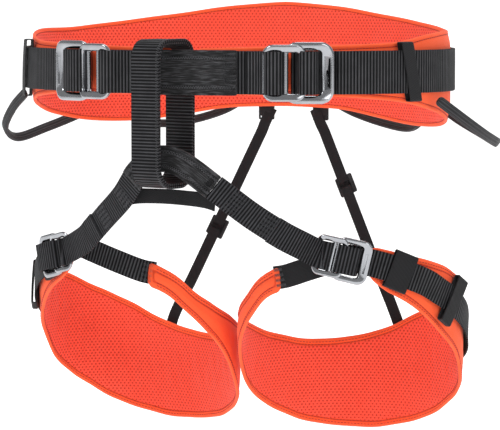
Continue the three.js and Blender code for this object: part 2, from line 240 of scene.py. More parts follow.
def fabric_material(name, roughness, sheen):
    made = bpy.data.materials.new(name)
    made.use_nodes = True
    shader = made.node_tree.nodes["Principled BSDF"]
    shader.inputs["Roughness"].default_value = roughness
    shader.inputs["Sheen Weight"].default_value = sheen
    shader.inputs["Sheen Roughness"].default_value = 0.5
    shader.inputs["Specular IOR Level"].default_value = 0.25
    return made, made.node_tree, shader


def add_bump(tree, shader, height, distance, strength=1.0):
    bump = add_node(tree, "ShaderNodeBump", {"Strength": strength, "Distance": distance, "Height": height})
    tree.links.new(bump.outputs["Normal"], shader.inputs["Normal"])


# Staggered round holes, 1 inside a hole.
perforations, group_in, group_out = new_group("perforations", ["Vector", "Pitch", "Row", "Radius"], ["Hole"])
cell = add_node(perforations, "ShaderNodeSeparateXYZ", {0: group_in.outputs["Vector"]})
row = maths(perforations, "DIVIDE", cell.outputs[1], group_in.outputs["Row"])
odd = maths(perforations, "FLOORED_MODULO", maths(perforations, "FLOOR", row), 2)
odd = maths(perforations, "MULTIPLY", odd, 0.5)
column = maths(perforations, "DIVIDE", cell.outputs[0], group_in.outputs["Pitch"])
column = maths(perforations, "ADD", column, odd)
offsets = []
for cells, spacing in ((column, "Pitch"), (row, "Row")):
    share = maths(perforations, "SUBTRACT", maths(perforations, "FRACT", cells), 0.5)
    offsets.append(maths(perforations, "MULTIPLY", share, group_in.outputs[spacing]))
off_x, off_y = offsets
reach = maths(perforations, "SQRT", maths(perforations, "ADD", maths(perforations, "MULTIPLY", off_x, off_x),
                                          maths(perforations, "MULTIPLY", off_y, off_y)))
hole_edge = maths(perforations, "DIVIDE", reach, group_in.outputs["Radius"])
inside = maths(perforations, "SUBTRACT", 1.0, step_up(perforations, hole_edge, 0.55, 1.2))
perforations.links.new(inside, group_out.inputs["Hole"])

# A fine plain weave or knit, 0 in the gaps and 1 on the yarns.
fine_weave, group_in, group_out = new_group("fine_weave", ["Vector", "Pitch"], ["Height"])
yarn = add_node(fine_weave, "ShaderNodeSeparateXYZ", {0: group_in.outputs["Vector"]})
waves = []
for axis in (0, 1):
    turns = maths(fine_weave, "DIVIDE", yarn.outputs[axis], group_in.outputs["Pitch"])
    waves.append(maths(fine_weave, "SINE", maths(fine_weave, "MULTIPLY", turns, 2 * math.pi)))
crossed = maths(fine_weave, "MULTIPLY", waves[0], waves[1])
fine_weave.links.new(maths(fine_weave, "MULTIPLY_ADD", crossed, 0.5, 0.5), group_out.inputs["Height"])

# Slow, cloudy change from handling: 0 to 1.
handling, group_in, group_out = new_group("handling", ["Vector", "Scale"], ["Cloud"])
cloud = add_node(handling, "ShaderNodeTexNoise", {
    "Vector": group_in.outputs["Vector"], "Scale": group_in.outputs["Scale"], "Detail": 4.0, "Roughness": 0.6,
})
handling.links.new(step_up(handling, cloud.outputs[0], 0.3, 0.7), group_out.inputs["Cloud"])

pad_fabric, tree, shader = fabric_material("pad_fabric", 0.82, 0.12)
surface = add_node(tree, "ShaderNodeUVMap", uv_map="cloth").outputs[0]
border = add_node(tree, "ShaderNodeAttribute", attribute_name="border").outputs["Fac"]
inner = add_node(tree, "ShaderNodeAttribute", attribute_name="inner").outputs["Fac"]
holes = place_group(tree, perforations, Vector=surface, Pitch=HOLE_PITCH, Row=HOLE_ROW,
                    Radius=HOLE_RADIUS).outputs["Hole"]
weave = place_group(tree, fine_weave, Vector=surface, Pitch=0.0011).outputs["Height"]
knit = place_group(tree, fine_weave, Vector=surface, Pitch=0.0007).outputs["Height"]
cloud = place_group(tree, handling, Vector=surface, Scale=26.0).outputs["Cloud"]
mesh_share = maths(tree, "MULTIPLY", step_up(tree, border, 1.08, 1.2), inner)
# Painted shade: the cloth is darkened towards the pinched stitch line, where the crease would hold shadow.
seam_gap = maths(tree, "ABSOLUTE", maths(tree, "SUBTRACT", border, 1.0))
seam_shade = maths(tree, "SUBTRACT", 1.0, step_up(tree, seam_gap, 0.04, 0.2))
hole_share = maths(tree, "MULTIPLY", holes, mesh_share)
dotted = mix_colours(tree, holes, SPACER_ORANGE, SPACER_HOLE)
spacer = mix_colours(tree, maths(tree, "MULTIPLY", weave, 0.16), dotted, PALE_SPACER)
shell = mix_colours(tree, maths(tree, "MULTIPLY", knit, 0.2), SHELL_ORANGE, PALE_SHELL)
cloth = mix_colours(tree, mesh_share, shell, spacer)
worn = mix_colours(tree, maths(tree, "MULTIPLY", cloud, 0.14), cloth, WORN_ORANGE)
shaded = mix_colours(tree, maths(tree, "MULTIPLY", seam_shade, 0.6), worn, PAINTED_SEAM_SHADE)
tree.links.new(shaded, shader.inputs["Base Color"])
tree.links.new(maths(tree, "MULTIPLY_ADD", cloud, 0.1, 0.76), shader.inputs["Roughness"])
relief = maths(tree, "SUBTRACT", maths(tree, "MULTIPLY", weave, 0.18), hole_share)
add_bump(tree, shader, maths(tree, "MULTIPLY_ADD", knit, 0.1, relief), 0.0007)


def height_at(pairs, bearing):
    """The height at a bearing, with the corners of the outline rounded a little."""
    total = 0
    for shift in (-5, -2.5, 0, 2.5, 5):
        b = np.asarray(bearing, float) + shift
        i = np.clip(np.searchsorted(pairs[:, 0], b) - 1, 0, len(pairs) - 2)
        part = np.clip((b - pairs[i, 0]) / (pairs[i + 1, 0] - pairs[i, 0]), 0, 1)
        eased = 0.35 * part * part * (3 - 2 * part) + 0.65 * part
        total = total + pairs[i, 1] + (pairs[i + 1, 1] - pairs[i, 1]) * eased
    return total / 5


def on_wall(centre, sideways, forwards, half_width, half_depth, bearing, out, height):
    """Points on an upright elliptic wall, pushed out along its normal. All the values may be arrays."""
    angle = np.radians(np.asarray(bearing, float))
    c = np.cos(angle)[..., None]
    s = np.sin(angle)[..., None]
    normal = sideways * c / half_width + forwards * s / half_depth
    normal = normal / np.linalg.norm(normal, axis=-1, keepdims=True)
    point = centre + sideways * half_width * c + forwards * half_depth * s
    point = point + normal * np.asarray(out, float)[..., None]
    point[..., 2] = height
    return point


def on_waist(bearing, out, height):
    front = np.array([0.0, -1.0, 0.0])
    left = np.array([1.0, 0.0, 0.0])
    return on_wall(np.zeros(3), front, left, WAIST_HALF_DEPTH, WAIST_HALF_WIDTH, bearing, out, height)


def waist_edges(bearing):
    """Bottom and top heights of the belt at a bearing, the same on both sides."""
    from_front = np.where(np.asarray(bearing) > 180, 360 - np.asarray(bearing), bearing)
    return height_at(WAIST_BOTTOM, from_front), height_at(WAIST_TOP, from_front)


def smooth(value, low, high):
    part = np.clip((value - low) / (high - low), 0, 1)
    return part * part * (3 - 2 * part)


def wrapped_tube(name, around, along):
    """A grid that the caller rolls into a tube along X, then places and closes."""
    bpy.ops.object.select_all(action="DESELECT")
    bpy.ops.mesh.primitive_grid_add(x_subdivisions=along, y_subdivisions=around, size=1, location=(0, 0, 0))
    piece = bpy.context.object
    piece.name = name
    places = np.array([v.co for v in piece.data.vertices]) + 0.5
    return piece, places[:, 0], places[:, 1]


def set_points(piece, points):
    piece.data.vertices.foreach_set("co", np.asarray(points, np.float32).ravel())
    piece.data.update()


def close_tube(piece, cap=True):
    bpy.context.view_layer.objects.active = piece
    bpy.ops.object.mode_set(mode="EDIT")
    bpy.ops.mesh.select_all(action="SELECT")
    bpy.ops.mesh.remove_doubles(threshold=0.00001)
    if cap:
        bpy.ops.mesh.fill_holes(sides=0)
    bpy.ops.mesh.select_all(action="SELECT")
    bpy.ops.mesh.normals_make_consistent(inside=False)
    bpy.ops.object.mode_set(mode="OBJECT")


def keep_values(piece, name, values):
    attribute = piece.data.attributes.get(name) or piece.data.attributes.new(name, "FLOAT", "POINT")
    attribute.data.foreach_set("value", np.asarray(values, np.float32))


def read_values(piece, name):
    values = np.zeros(len(piece.data.vertices), np.float32)
    piece.data.attributes[name].data.foreach_get("value", values)
    return values.astype(float)


def points_of(piece):
    points = np.zeros(len(piece.data.vertices) * 3, np.float32)
    piece.data.vertices.foreach_get("co", points)
    return points.reshape(-1, 3).astype(float)


def apply_modifier(piece, kind, **settings):
    modifier = piece.modifiers.new(kind.lower(), kind)
    for name, value in settings.items():
        setattr(modifier, name, value)
    bpy.ops.object.select_all(action="DESELECT")
    piece.select_set(True)
    bpy.context.view_layer.objects.active = piece
    bpy.ops.object.modifier_apply(modifier=modifier.name)


def lay_cloth_map(piece, across, up):
    """A UV map in metres from one value pair per vertex."""
    if "cloth" not in piece.data.uv_layers:
        piece.data.uv_layers.new(name="cloth")
    for other in [x.name for x in piece.data.uv_layers if x.name != "cloth"]:
        piece.data.uv_layers.remove(piece.data.uv_layers[other])
    layer = piece.data.uv_layers["cloth"]
    corners = np.zeros(len(piece.data.loops), np.int64)
    piece.data.loops.foreach_get("vertex_index", corners)
    layer.data.foreach_set("uv", np.stack([across[corners], up[corners]], 1).astype(np.float32).ravel())


def puff_up(piece, pressure, cap):
    """Cloth under pressure fills the shell like a foam core; no point moves further than cap."""
    before = points_of(piece)
    pinned = piece.vertex_groups.new(name="sewn")
    rim_values = read_values(piece, "rim")
    for index in np.nonzero(rim_values < SEWN_EDGE)[0]:
        pinned.add([int(index)], 1.0, "ADD")
    modifier = piece.modifiers.new("cloth", "CLOTH")
    cloth_settings = modifier.settings
    cloth_settings.use_pressure = True
    cloth_settings.uniform_pressure_force = pressure
    cloth_settings.vertex_group_mass = "sewn"
    cloth_settings.effector_weights.gravity = 0
    cloth_settings.quality = 4
    modifier.collision_settings.use_collision = False
    for step in range(1, SETTLE_STEPS + 1):
        bpy.context.scene.frame_set(step)
    bpy.ops.object.select_all(action="DESELECT")
    piece.select_set(True)
    bpy.context.view_layer.objects.active = piece
    bpy.ops.object.modifier_apply(modifier=modifier.name)
    bpy.context.scene.frame_set(1)
    moved = points_of(piece) - before
    far = np.linalg.norm(moved, axis=1, keepdims=True)
    set_points(piece, before + moved * np.minimum(1, cap / np.maximum(far, 1e-9)))
    piece.vertex_groups.clear()


def lengths_of(points):
    """How far along a route each of its points lies."""
    return np.concatenate([[0], np.cumsum(np.linalg.norm(np.diff(points, axis=0), axis=1))])


def between(wanted, known, rows):
    """Rows of values at the wanted positions, from rows at the known positions."""
    return np.stack([np.interp(wanted, known, column) for column in rows.T], 1)


def unit_rows(vectors):
    return vectors / np.linalg.norm(vectors, axis=-1, keepdims=True)


def sewn_pad(name, first, last, wall, edges, arc, thickness, border, end_round, along, around):
    """A closed pad on a wall: puffed core, flat border, pinched stitch line. Its ends are rounded."""
    piece, u, s = wrapped_tube(name, around, along)
    bearing = first + (last - first) * u
    side = np.where(s < 0.5, 2 * s, 2 - 2 * s)
    v = 0.55 * side + 0.45 * (1 - np.cos(np.pi * side)) / 2
    length = arc(last) - arc(first)
    end_gap = np.minimum(arc(bearing) - arc(first), arc(last) - arc(bearing))
    low, high = edges(bearing)
    radius = np.where(arc(bearing) - arc(first) < length / 2, end_round[0], end_round[1])
    pull = 1 - np.sqrt(np.clip(1 - (1 - np.clip(end_gap / radius, 0, 1)) ** 2, 0, 1))
    middle = (low + high) / 2
    keep = 1 - 0.6 * pull
    low = middle + (low - middle) * keep
    high = middle + (high - middle) * keep
    z = low + (high - low) * v
    rim_gap = np.minimum(np.minimum(z - low, high - z), end_gap)
    roll = np.sqrt(np.clip(1 - (1 - np.clip(rim_gap / EDGE_ROLL, 0, 1)) ** 2, 0, 1))
    crown = (thickness - FOAM_ALLOWANCE - BORDER_THICKNESS) / 2
    half = BORDER_THICKNESS / 2 * roll + crown * smooth(rim_gap, border, border + CROWN_RUN)
    facing_in = s < 0.5
    out = thickness / 2 + np.where(facing_in, -half, half)
    set_points(piece, wall(bearing, out, z))
    keep_values(piece, "bearing", bearing)
    keep_values(piece, "level", z)
    keep_values(piece, "rim", rim_gap)
    keep_values(piece, "inner", facing_in)
    close_tube(piece)
    puff_up(piece, FOAM_PRESSURE, FOAM_RISE)
    apply_modifier(piece, "SUBSURF", levels=1, render_levels=1)
    bearing = read_values(piece, "bearing")
    z = read_values(piece, "level")
    rim_gap = read_values(piece, "rim")
    inner_share = read_values(piece, "inner")
    points = points_of(piece)
    normals = wall(bearing, np.ones(len(z)), z) - wall(bearing, np.zeros(len(z)), z)
    pinch = PINCH_DEPTH * np.exp(-(((rim_gap - border) / PINCH_RUN) ** 2))
    ease = 0.00035 * np.sin(bearing * 0.9) * np.sin(z * 160) * smooth(rim_gap, border, 0.03)
    towards = np.where(inner_share > 0.5, 1.0, -1.0)
    set_points(piece, points + normals * (pinch * towards + ease)[:, None])
    lay_cloth_map(piece, arc(bearing), z)
    keep_values(piece, "inner", inner_share > 0.5)
    keep_values(piece, "border", rim_gap / border)
    bpy.ops.object.shade_smooth()
    piece.data.materials.append(pad_fabric)
    return piece


def arc_table(wall):
    """Turns a bearing on a wall into a distance round it."""
    bearings = np.linspace(-90, 450, 1081)
    points = wall(bearings, np.zeros(1081), np.zeros(1081))
    lengths = lengths_of(points)
    return lambda bearing: np.interp(bearing, bearings, lengths)


waist_arc = arc_table(on_waist)
waist_pad = sewn_pad("waist_pad", *WAIST_ENDS, on_waist, waist_edges, waist_arc, WAIST_PAD_THICKNESS,
                     WAIST_BORDER, (0.006, 0.006), 236, 44)
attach(waist_pad, "waist")
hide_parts("waist_pad_lining", "waist_pad_foam", "waist_pad_shell")


# ---- Pad stitching ---------------------------------------------------------------------------
# Bonded nylon thread, sewn through the pinched line round each pad, inside and outside. Each
# stitch is a short arch of thread that dips into the cloth at both ends.

THREAD_RADIUS = 0.00042
STITCH_PITCH = 0.0036
STITCH_LENGTH = 0.0028
STITCH_DIP = 0.0003
ORANGE_THREAD = (0.32, 0.010, 0.003, 1)


def thread_material(name, colour):
    made, tree, shader = fabric_material(name, 0.5, 0.1)
    place = add_node(tree, "ShaderNodeTexCoord").outputs["Object"]
    twist = add_node(tree, "ShaderNodeTexNoise", {"Vector": place, "Scale": 900.0})
    pale = tuple(min(1.0, c * 1.7 + 0.02) for c in colour[:3]) + (1,)
    tree.links.new(mix_colours(tree, twist.outputs[0], colour, pale), shader.inputs["Base Color"])
    add_bump(tree, shader, twist.outputs[0], 0.0003)
    return made


def thread_tubes(name, runs, radius, material, sides=6):
    """One mesh of many short round threads. Each run is a list of points."""
    corners, faces = [], []
    for run in runs:
        run = np.asarray(run, float)
        ahead = np.gradient(run, axis=0)
        ahead /= np.maximum(np.linalg.norm(ahead, axis=1, keepdims=True), 1e-12)
        reference = np.where(np.abs(ahead[:, 2:3]) > 0.9, np.array([[1.0, 0, 0]]), np.array([[0, 0, 1.0]]))
        wide = unit_rows(np.cross(reference, ahead))
        tall = np.cross(ahead, wide)
        start = len(corners)
        for i in range(len(run)):
            size = radius * (0.55 if i in (0, len(run) - 1) else 1)
            for k in range(sides):
                turn = 2 * math.pi * k / sides
                corners.append(run[i] + size * (math.cos(turn) * wide[i] + math.sin(turn) * tall[i]))
        for i in range(len(run) - 1):
            for k in range(sides):
                a = start + i * sides + k
                b = start + i * sides + (k + 1) % sides
                faces.append((a, b, b + sides, a + sides))
        faces.append(tuple(start + k for k in reversed(range(sides))))
        faces.append(tuple(start + (len(run) - 1) * sides + k for k in range(sides)))
    mesh = bpy.data.meshes.new(name)
    mesh.from_pydata([tuple(c) for c in corners], [], faces)
    piece = bpy.data.objects.new(name, mesh)
    bpy.context.scene.collection.objects.link(piece)
    bpy.ops.object.select_all(action="DESELECT")
    piece.select_set(True)
    bpy.context.view_layer.objects.active = piece
    bpy.ops.object.shade_smooth()
    mesh.materials.append(material)
    return piece


def stitches(points, normals, lift=0.00025):
    """Cuts a line on a surface into stitches that arch out of it."""
    points = np.asarray(points, float)
    normals = np.asarray(normals, float)
    lengths = lengths_of(points)
    runs = []
    for start in np.arange(0, lengths[-1] - STITCH_LENGTH, STITCH_PITCH):
        at = start + STITCH_LENGTH * np.array([0, 0.2, 0.5, 0.8, 1])
        place = between(at, lengths, points)
        out = between(at, lengths, normals)
        rise = np.array([-STITCH_DIP, lift * 0.7, lift, lift * 0.7, -STITCH_DIP])
        runs.append(place + out * rise[:, None])
    return runs


def pad_seam(piece, wall, edges, first, last, inset, from_inside):
    """The places and normals of a sewn line round a pad, inset from its edge."""
    places = [v.co[:] for v in piece.data.vertices]
    tree = BVHTree.FromPolygons(places, [p.vertices[:] for p in piece.data.polygons])
    lines = []
    for upper in (False, True):
        bearings = np.linspace(first, last, int((last - first) * 1.2))
        low, high = edges(bearings)
        heights = high - inset if upper else low + inset
        start = wall(bearings, np.full(len(bearings), -0.02 if from_inside else 0.03), heights)
        end = wall(bearings, np.full(len(bearings), 0.03 if from_inside else -0.02), heights)
        places, normals = [], []
        for a, b in zip(start, end):
            direction = Vector(b - a).normalized()
            hit = tree.ray_cast(Vector(a), direction)[0]
            if hit is not None:
                places.append(hit[:])
                normals.append((-direction)[:])
        lines.append((places, normals))
    return lines


orange_thread = thread_material("orange_thread", ORANGE_THREAD)


def sew_pad(piece, wall, edges, first, last, insets):
    runs = []
    for inset in insets:
        for from_inside in (True, False):
            for places, normals in pad_seam(piece, wall, edges, first, last, inset, from_inside):
                runs += stitches(places, normals)
    thread = thread_tubes(piece.name + "_stitching", runs, THREAD_RADIUS, orange_thread, 5)
    return thread


waist_thread = sew_pad(waist_pad, on_waist, waist_edges, WAIST_ENDS[0] + 2, WAIST_ENDS[1] - 2, [WAIST_BORDER])
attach(waist_thread, "waist")


# ---- Leg pads --------------------------------------------------------------------------------
# Each is built like the belt, only thinner, and cut as a long crescent that wraps the thigh. A
# second stitch line holds the rolled edge down.

LEG_X = 0.119
LEG_Y = 0.016
LEG_HALF_WIDTH = 0.112
LEG_HALF_DEPTH = 0.085
LEG_TURN = math.radians(19)
LEG_TOP = np.array([
    (-52, -198), (-36, -212), (-20, -236), (0, -254), (20, -268), (45, -284), (66, -293), (82, -293),
    (97, -289), (112, -280), (130, -262), (149, -247), (172, -229), (198, -213), (216, -199), (234, -190),
    (262, -177),
]) * (1, 0.001)
LEG_BOTTOM = np.array([
    (-52, -225), (-40, -234), (-26, -257), (-8, -284), (6, -308), (18, -335), (32, -354), (48, -370),
    (66, -384), (84, -390), (104, -392), (125, -384), (141, -373), (160, -353), (182, -329), (202, -292),
    (216, -274), (228, -254), (240, -237), (256, -221), (262, -208),
]) * (1, 0.001)
LEG_PAD_THICKNESS = 0.0069
LEG_BORDER = 0.0075
LEG_PAD_FIRST = -52
LEG_PAD_LAST = 263
SIDES = {"left": 1, "right": -1}


def leg_wall(side):
    centre = np.array([side * LEG_X, LEG_Y, 0.0])
    inward = np.array([-side * math.cos(LEG_TURN), -math.sin(LEG_TURN), 0.0])
    rearward = np.array([-side * math.sin(LEG_TURN), math.cos(LEG_TURN), 0.0])

    def wall(bearing, out, height):
        return on_wall(centre, inward, rearward, LEG_HALF_WIDTH, LEG_HALF_DEPTH, bearing, out, height)
    return wall


def leg_edges(bearing):
    return height_at(LEG_BOTTOM, bearing), height_at(LEG_TOP, bearing)


for name, side in SIDES.items():
    wall = leg_wall(side)
    pad = sewn_pad("leg_pad_" + name, LEG_PAD_FIRST, LEG_PAD_LAST, wall, leg_edges, arc_table(wall),
                   LEG_PAD_THICKNESS, LEG_BORDER, (0.004, 0.012), 150, 44)
    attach(pad, "leg_" + name)
    layers = [f"leg_pad_{name}_{layer}" for layer in ("lining", "foam", "shell")]
    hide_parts(*layers)
    insets = [LEG_BORDER, LEG_BORDER - 0.003]
    thread = sew_pad(pad, wall, leg_edges, LEG_PAD_FIRST + 6, LEG_PAD_LAST - 6, insets)
    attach(thread, "leg_" + name)


# ---- Belt webbing ----------------------------------------------------------------------------
# Polyester webbing, 43 mm wide, woven with ribs across it. The front piece carries the tie-in
# sleeve, the back piece runs round behind the wearer, and the free tails are doubled back on the
# outside.

WEB_WIDTH = 0.043
WEB_HALF = WEB_WIDTH / 2
WAIST_WEB = (0.0112, 0.0132)
WAIST_TAIL = (0.0136, 0.0154)
# Black webbing: the grooves get painted shade and the rib crests a painted highlight.
PAINTED_GROOVE_SHADE = (0.0012, 0.0012, 0.0016, 1)
WAIST_PAINTED_RIB_HIGHLIGHT = (0.115, 0.116, 0.124, 1)
WAIST_RIB = 0.0034


# Ribs across a strap: 1 on a rib and 0 in the groove, with the twisted yarns that lie along it.
ribs, group_in, group_out = new_group("ribs", ["Vector", "Pitch", "Yarn"], ["Rib", "Yarn"])
lie = add_node(ribs, "ShaderNodeSeparateXYZ", {0: group_in.outputs["Vector"]})
beat = maths(ribs, "MULTIPLY", maths(ribs, "DIVIDE", lie.outputs[0], group_in.outputs["Pitch"]), math.pi)
rib = maths(ribs, "POWER", maths(ribs, "ABSOLUTE", maths(ribs, "SINE", beat)), 2.0)
lean = maths(ribs, "MULTIPLY_ADD", lie.outputs[0], 0.6, lie.outputs[1])
strand = maths(ribs, "MULTIPLY", maths(ribs, "DIVIDE", lean, group_in.outputs["Yarn"]), 2 * math.pi)
twist = maths(ribs, "MULTIPLY_ADD", maths(ribs, "SINE", strand), 0.5, 0.5)
ribs.links.new(rib, group_out.inputs["Rib"])
ribs.links.new(twist, group_out.inputs["Yarn"])


def webbing_material(name, pitch, yarn, groove, painted_crest_light, depth):
    made, tree, shader = fabric_material(name, 0.62, 0.0)
    shader.inputs["Specular IOR Level"].default_value = 0.12
    surface = add_node(tree, "ShaderNodeUVMap", uv_map="cloth").outputs[0]
    weave = place_group(tree, ribs, Vector=surface, Pitch=pitch, Yarn=yarn)
    cloud = place_group(tree, handling, Vector=surface, Scale=60.0).outputs["Cloud"]
    fuzz = add_node(tree, "ShaderNodeTexNoise", {"Vector": surface, "Scale": 1400.0, "Detail": 2.0})
    # Painted light: the rib crests get a painted highlight, strongest where the twisted yarns rise, and the
    # grooves get painted shade.
    twisted = maths(tree, "MULTIPLY_ADD", weave.outputs["Yarn"], 0.45, 0.55)
    lit = maths(tree, "POWER", maths(tree, "MULTIPLY", weave.outputs["Rib"], twisted), 1.6)
    lit = maths(tree, "MULTIPLY", lit, maths(tree, "MULTIPLY_ADD", cloud, 0.3, 0.75))
    base = mix_colours(tree, lit, groove, painted_crest_light)
    tree.links.new(base, shader.inputs["Base Color"])
    tree.links.new(maths(tree, "MULTIPLY_ADD", fuzz.outputs[0], 0.2, 0.5), shader.inputs["Roughness"])
    relief = maths(tree, "MULTIPLY_ADD", weave.outputs["Yarn"], 0.25, weave.outputs["Rib"])
    add_bump(tree, shader, maths(tree, "MULTIPLY_ADD", fuzz.outputs[0], 0.12, relief), depth)
    return made


def ribbon(name, points, wide, normals, width, thickness, material, steps=8, closed=False, edge=0.0006):
    """A strap along a route. wide and normals give how it lies at each point of the route."""
    points, wide, normals = (np.asarray(x, float) for x in (points, wide, normals))
    piece, u, v = wrapped_tube(name, steps, len(points) - 1)
    at = u * (len(points) - 1)
    index = np.arange(len(points))
    place = between(at, index, points)
    side = between(at, index, wide)
    lengths = lengths_of(points)
    widths = np.interp(at, index, width) if np.ndim(width) else width
    set_points(piece, place + side * ((v - 0.5) * widths)[:, None])
    run = np.interp(at, index, lengths)
    lay_cloth_map(piece, run, (v - 0.5) * widths)
    out = between(at, index, normals)
    bpy.context.view_layer.objects.active = piece
    bpy.ops.object.mode_set(mode="EDIT")
    bpy.ops.mesh.select_all(action="SELECT")
    if closed:
        bpy.ops.mesh.remove_doubles(threshold=0.00002)
    bpy.ops.mesh.normals_make_consistent(inside=False)
    bpy.ops.object.mode_set(mode="OBJECT")
    faces = piece.data.polygons
    face = faces[len(faces) // 2]
    nearest = np.argmin(np.linalg.norm(place - np.array(face.center), axis=1))
    if face.normal.dot(Vector(out[nearest])) < 0:
        bpy.ops.object.mode_set(mode="EDIT")
        bpy.ops.mesh.flip_normals()
        bpy.ops.object.mode_set(mode="OBJECT")
    apply_modifier(piece, "SOLIDIFY", thickness=thickness, offset=0)
    rounding = min(edge, thickness * 0.42)
    apply_modifier(piece, "BEVEL", width=rounding, segments=2, angle_limit=math.radians(50))
    bpy.ops.object.shade_smooth_by_angle(angle=math.radians(55))
    piece.data.materials.append(material)
    return piece


def wall_route(wall, first, last, out, height, count):
    """Points, up directions and outward normals along a level or sloping line on a wall."""
    bearings = np.linspace(first, last, count)
    heights = height(bearings) if callable(height) else np.full(count, height)
    points = wall(bearings, np.full(count, out), heights)
    normals = wall(bearings, np.ones(count), heights) - wall(bearings, np.zeros(count), heights)
    ahead = unit_rows(np.gradient(points, axis=0))
    wide = unit_rows(np.cross(normals, ahead))
    return points, wide, normals


def middle_of(layer):
    return (layer[0] + layer[1]) / 2


waist_webbing = webbing_material("waist_webbing", WAIST_RIB, 0.0011, PAINTED_GROOVE_SHADE, WAIST_PAINTED_RIB_HIGHLIGHT, 0.0009)
BELT_PIECES = {
    "waist_webbing_front": (-24.4, 26.4, WAIST_WEB, 110),
    "waist_webbing_back": (28.4, 331.6, WAIST_WEB, 420),
    "waist_tail_left": (41, 92, WAIST_TAIL, 90),
    "waist_tail_right": (-92, -41, WAIST_TAIL, 90),
}
for name, (first, last, layer, count) in BELT_PIECES.items():
    points, wide, normals = wall_route(on_waist, first, last, middle_of(layer), 0.0, count)
    sway = 0.0004 * np.sin(np.linspace(0, 9, count)) * np.sin(np.linspace(0, math.pi, count))
    strap = ribbon(name, points + normals * sway[:, None], wide, normals, WEB_WIDTH, layer[1] - layer[0],
                   waist_webbing)
    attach(strap, "waist")
    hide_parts(name)


# ---- Tie-in sleeve ---------------------------------------------------------------------------
# A wear sleeve of tightly woven cloth, wrapped round the front webbing where the tie-in loop rubs.
# Its long edges are corded, two rows of zigzag hold it, and a bar tack closes one end.

SLEEVE_FIRST = -13
SLEEVE_LAST = 14.5
PIPING_RADIUS = 0.0013
ZIGZAG_PITCH = 0.0026
ZIGZAG_WIDTH = 0.0022
GREY_THREAD = (0.060, 0.060, 0.066, 1)
DEEP_BLACK = (0.0025, 0.0025, 0.003, 1)
SLEEVE_GREY = (0.085, 0.085, 0.092, 1)
BLACK_THREAD_RADIUS = 0.00032

sleeve_cloth, tree, shader = fabric_material("sleeve_cloth", 0.6, 0.06)
surface = add_node(tree, "ShaderNodeUVMap", uv_map="cloth").outputs[0]
stretch = add_node(tree, "ShaderNodeMapping", {"Vector": surface, "Scale": (0.08, 1, 1)})
fibres = add_node(tree, "ShaderNodeTexNoise", {"Vector": stretch.outputs[0], "Scale": 900.0, "Detail": 3.0})
weave = place_group(tree, fine_weave, Vector=surface, Pitch=0.0009).outputs["Height"]
cloud = place_group(tree, handling, Vector=surface, Scale=80.0).outputs["Cloud"]
streak = step_up(tree, fibres.outputs[0], 0.42, 0.72)
streak = maths(tree, "MULTIPLY", streak, maths(tree, "MULTIPLY_ADD", cloud, 0.5, 0.5))
tree.links.new(mix_colours(tree, streak, DEEP_BLACK, SLEEVE_GREY), shader.inputs["Base Color"])
tree.links.new(maths(tree, "MULTIPLY_ADD", weave, -0.15, 0.62), shader.inputs["Roughness"])
add_bump(tree, shader, maths(tree, "MULTIPLY_ADD", weave, 0.6, fibres.outputs[0]), 0.0004)
black_thread = thread_material("black_thread", GREY_THREAD)


def rounded_strap(name, points, wide, normals, width, thickness, material, around=16):
    """A padded strap: a flat tube with round sides, closed at its ends."""
    points, wide, normals = (np.asarray(x, float) for x in (points, wide, normals))
    count = len(points)
    piece, u, s = wrapped_tube(name, around, count - 1)
    index = np.round(u * (count - 1)).astype(int)
    turn = 2 * np.pi * s
    c, d = np.cos(turn), np.sin(turn)
    across = np.sign(c) * np.abs(c) ** 0.45 * (width / 2)
    end = np.minimum(index, count - 1 - index)
    swell = np.where(end == 0, 0.5, 1.0)
    up = np.sign(d) * np.abs(d) ** 0.7 * (thickness / 2) * swell
    place = points[index] + wide[index] * across[:, None] + normals[index] * up[:, None]
    lengths = lengths_of(points)
    set_points(piece, place)
    keep_values(piece, "run", lengths[index])
    keep_values(piece, "across", across)
    close_tube(piece)
    apply_modifier(piece, "SUBSURF", levels=1, render_levels=1)
    lay_cloth_map(piece, read_values(piece, "run"), read_values(piece, "across"))
    bpy.ops.object.shade_smooth()
    piece.data.materials.append(material)
    return piece


def round_cord(name, points, radius, material, around=10):
    """A round cord along a route."""
    points = np.asarray(points, float)
    ahead = unit_rows(np.gradient(points, axis=0))
    wide = np.cross(np.array([0.0, 0, 1]), ahead)
    wide /= np.maximum(np.linalg.norm(wide, axis=1, keepdims=True), 1e-9)
    return rounded_strap(name, points, wide, np.cross(ahead, wide), radius * 2, radius * 2, material, around)


def zigzag(points, wide, normals, offset, swing, pitch, lift):
    """A zigzag thread along a strap, offset from its middle."""
    points, wide, normals = (np.asarray(x, float) for x in (points, wide, normals))
    lengths = lengths_of(points)
    at = np.arange(0, lengths[-1], pitch / 2)
    place = between(at, lengths, points)
    side = between(at, lengths, wide)
    out = between(at, lengths, normals)
    way = np.where(np.arange(len(at)) % 2 == 0, 1.0, -1.0)
    return place + side * (offset + way * swing / 2)[:, None] + out * lift


def join_pieces(first, *others):
    bpy.ops.object.select_all(action="DESELECT")
    for piece in (first, *others):
        piece.select_set(True)
    bpy.context.view_layer.objects.active = first
    bpy.ops.object.join()
    return first


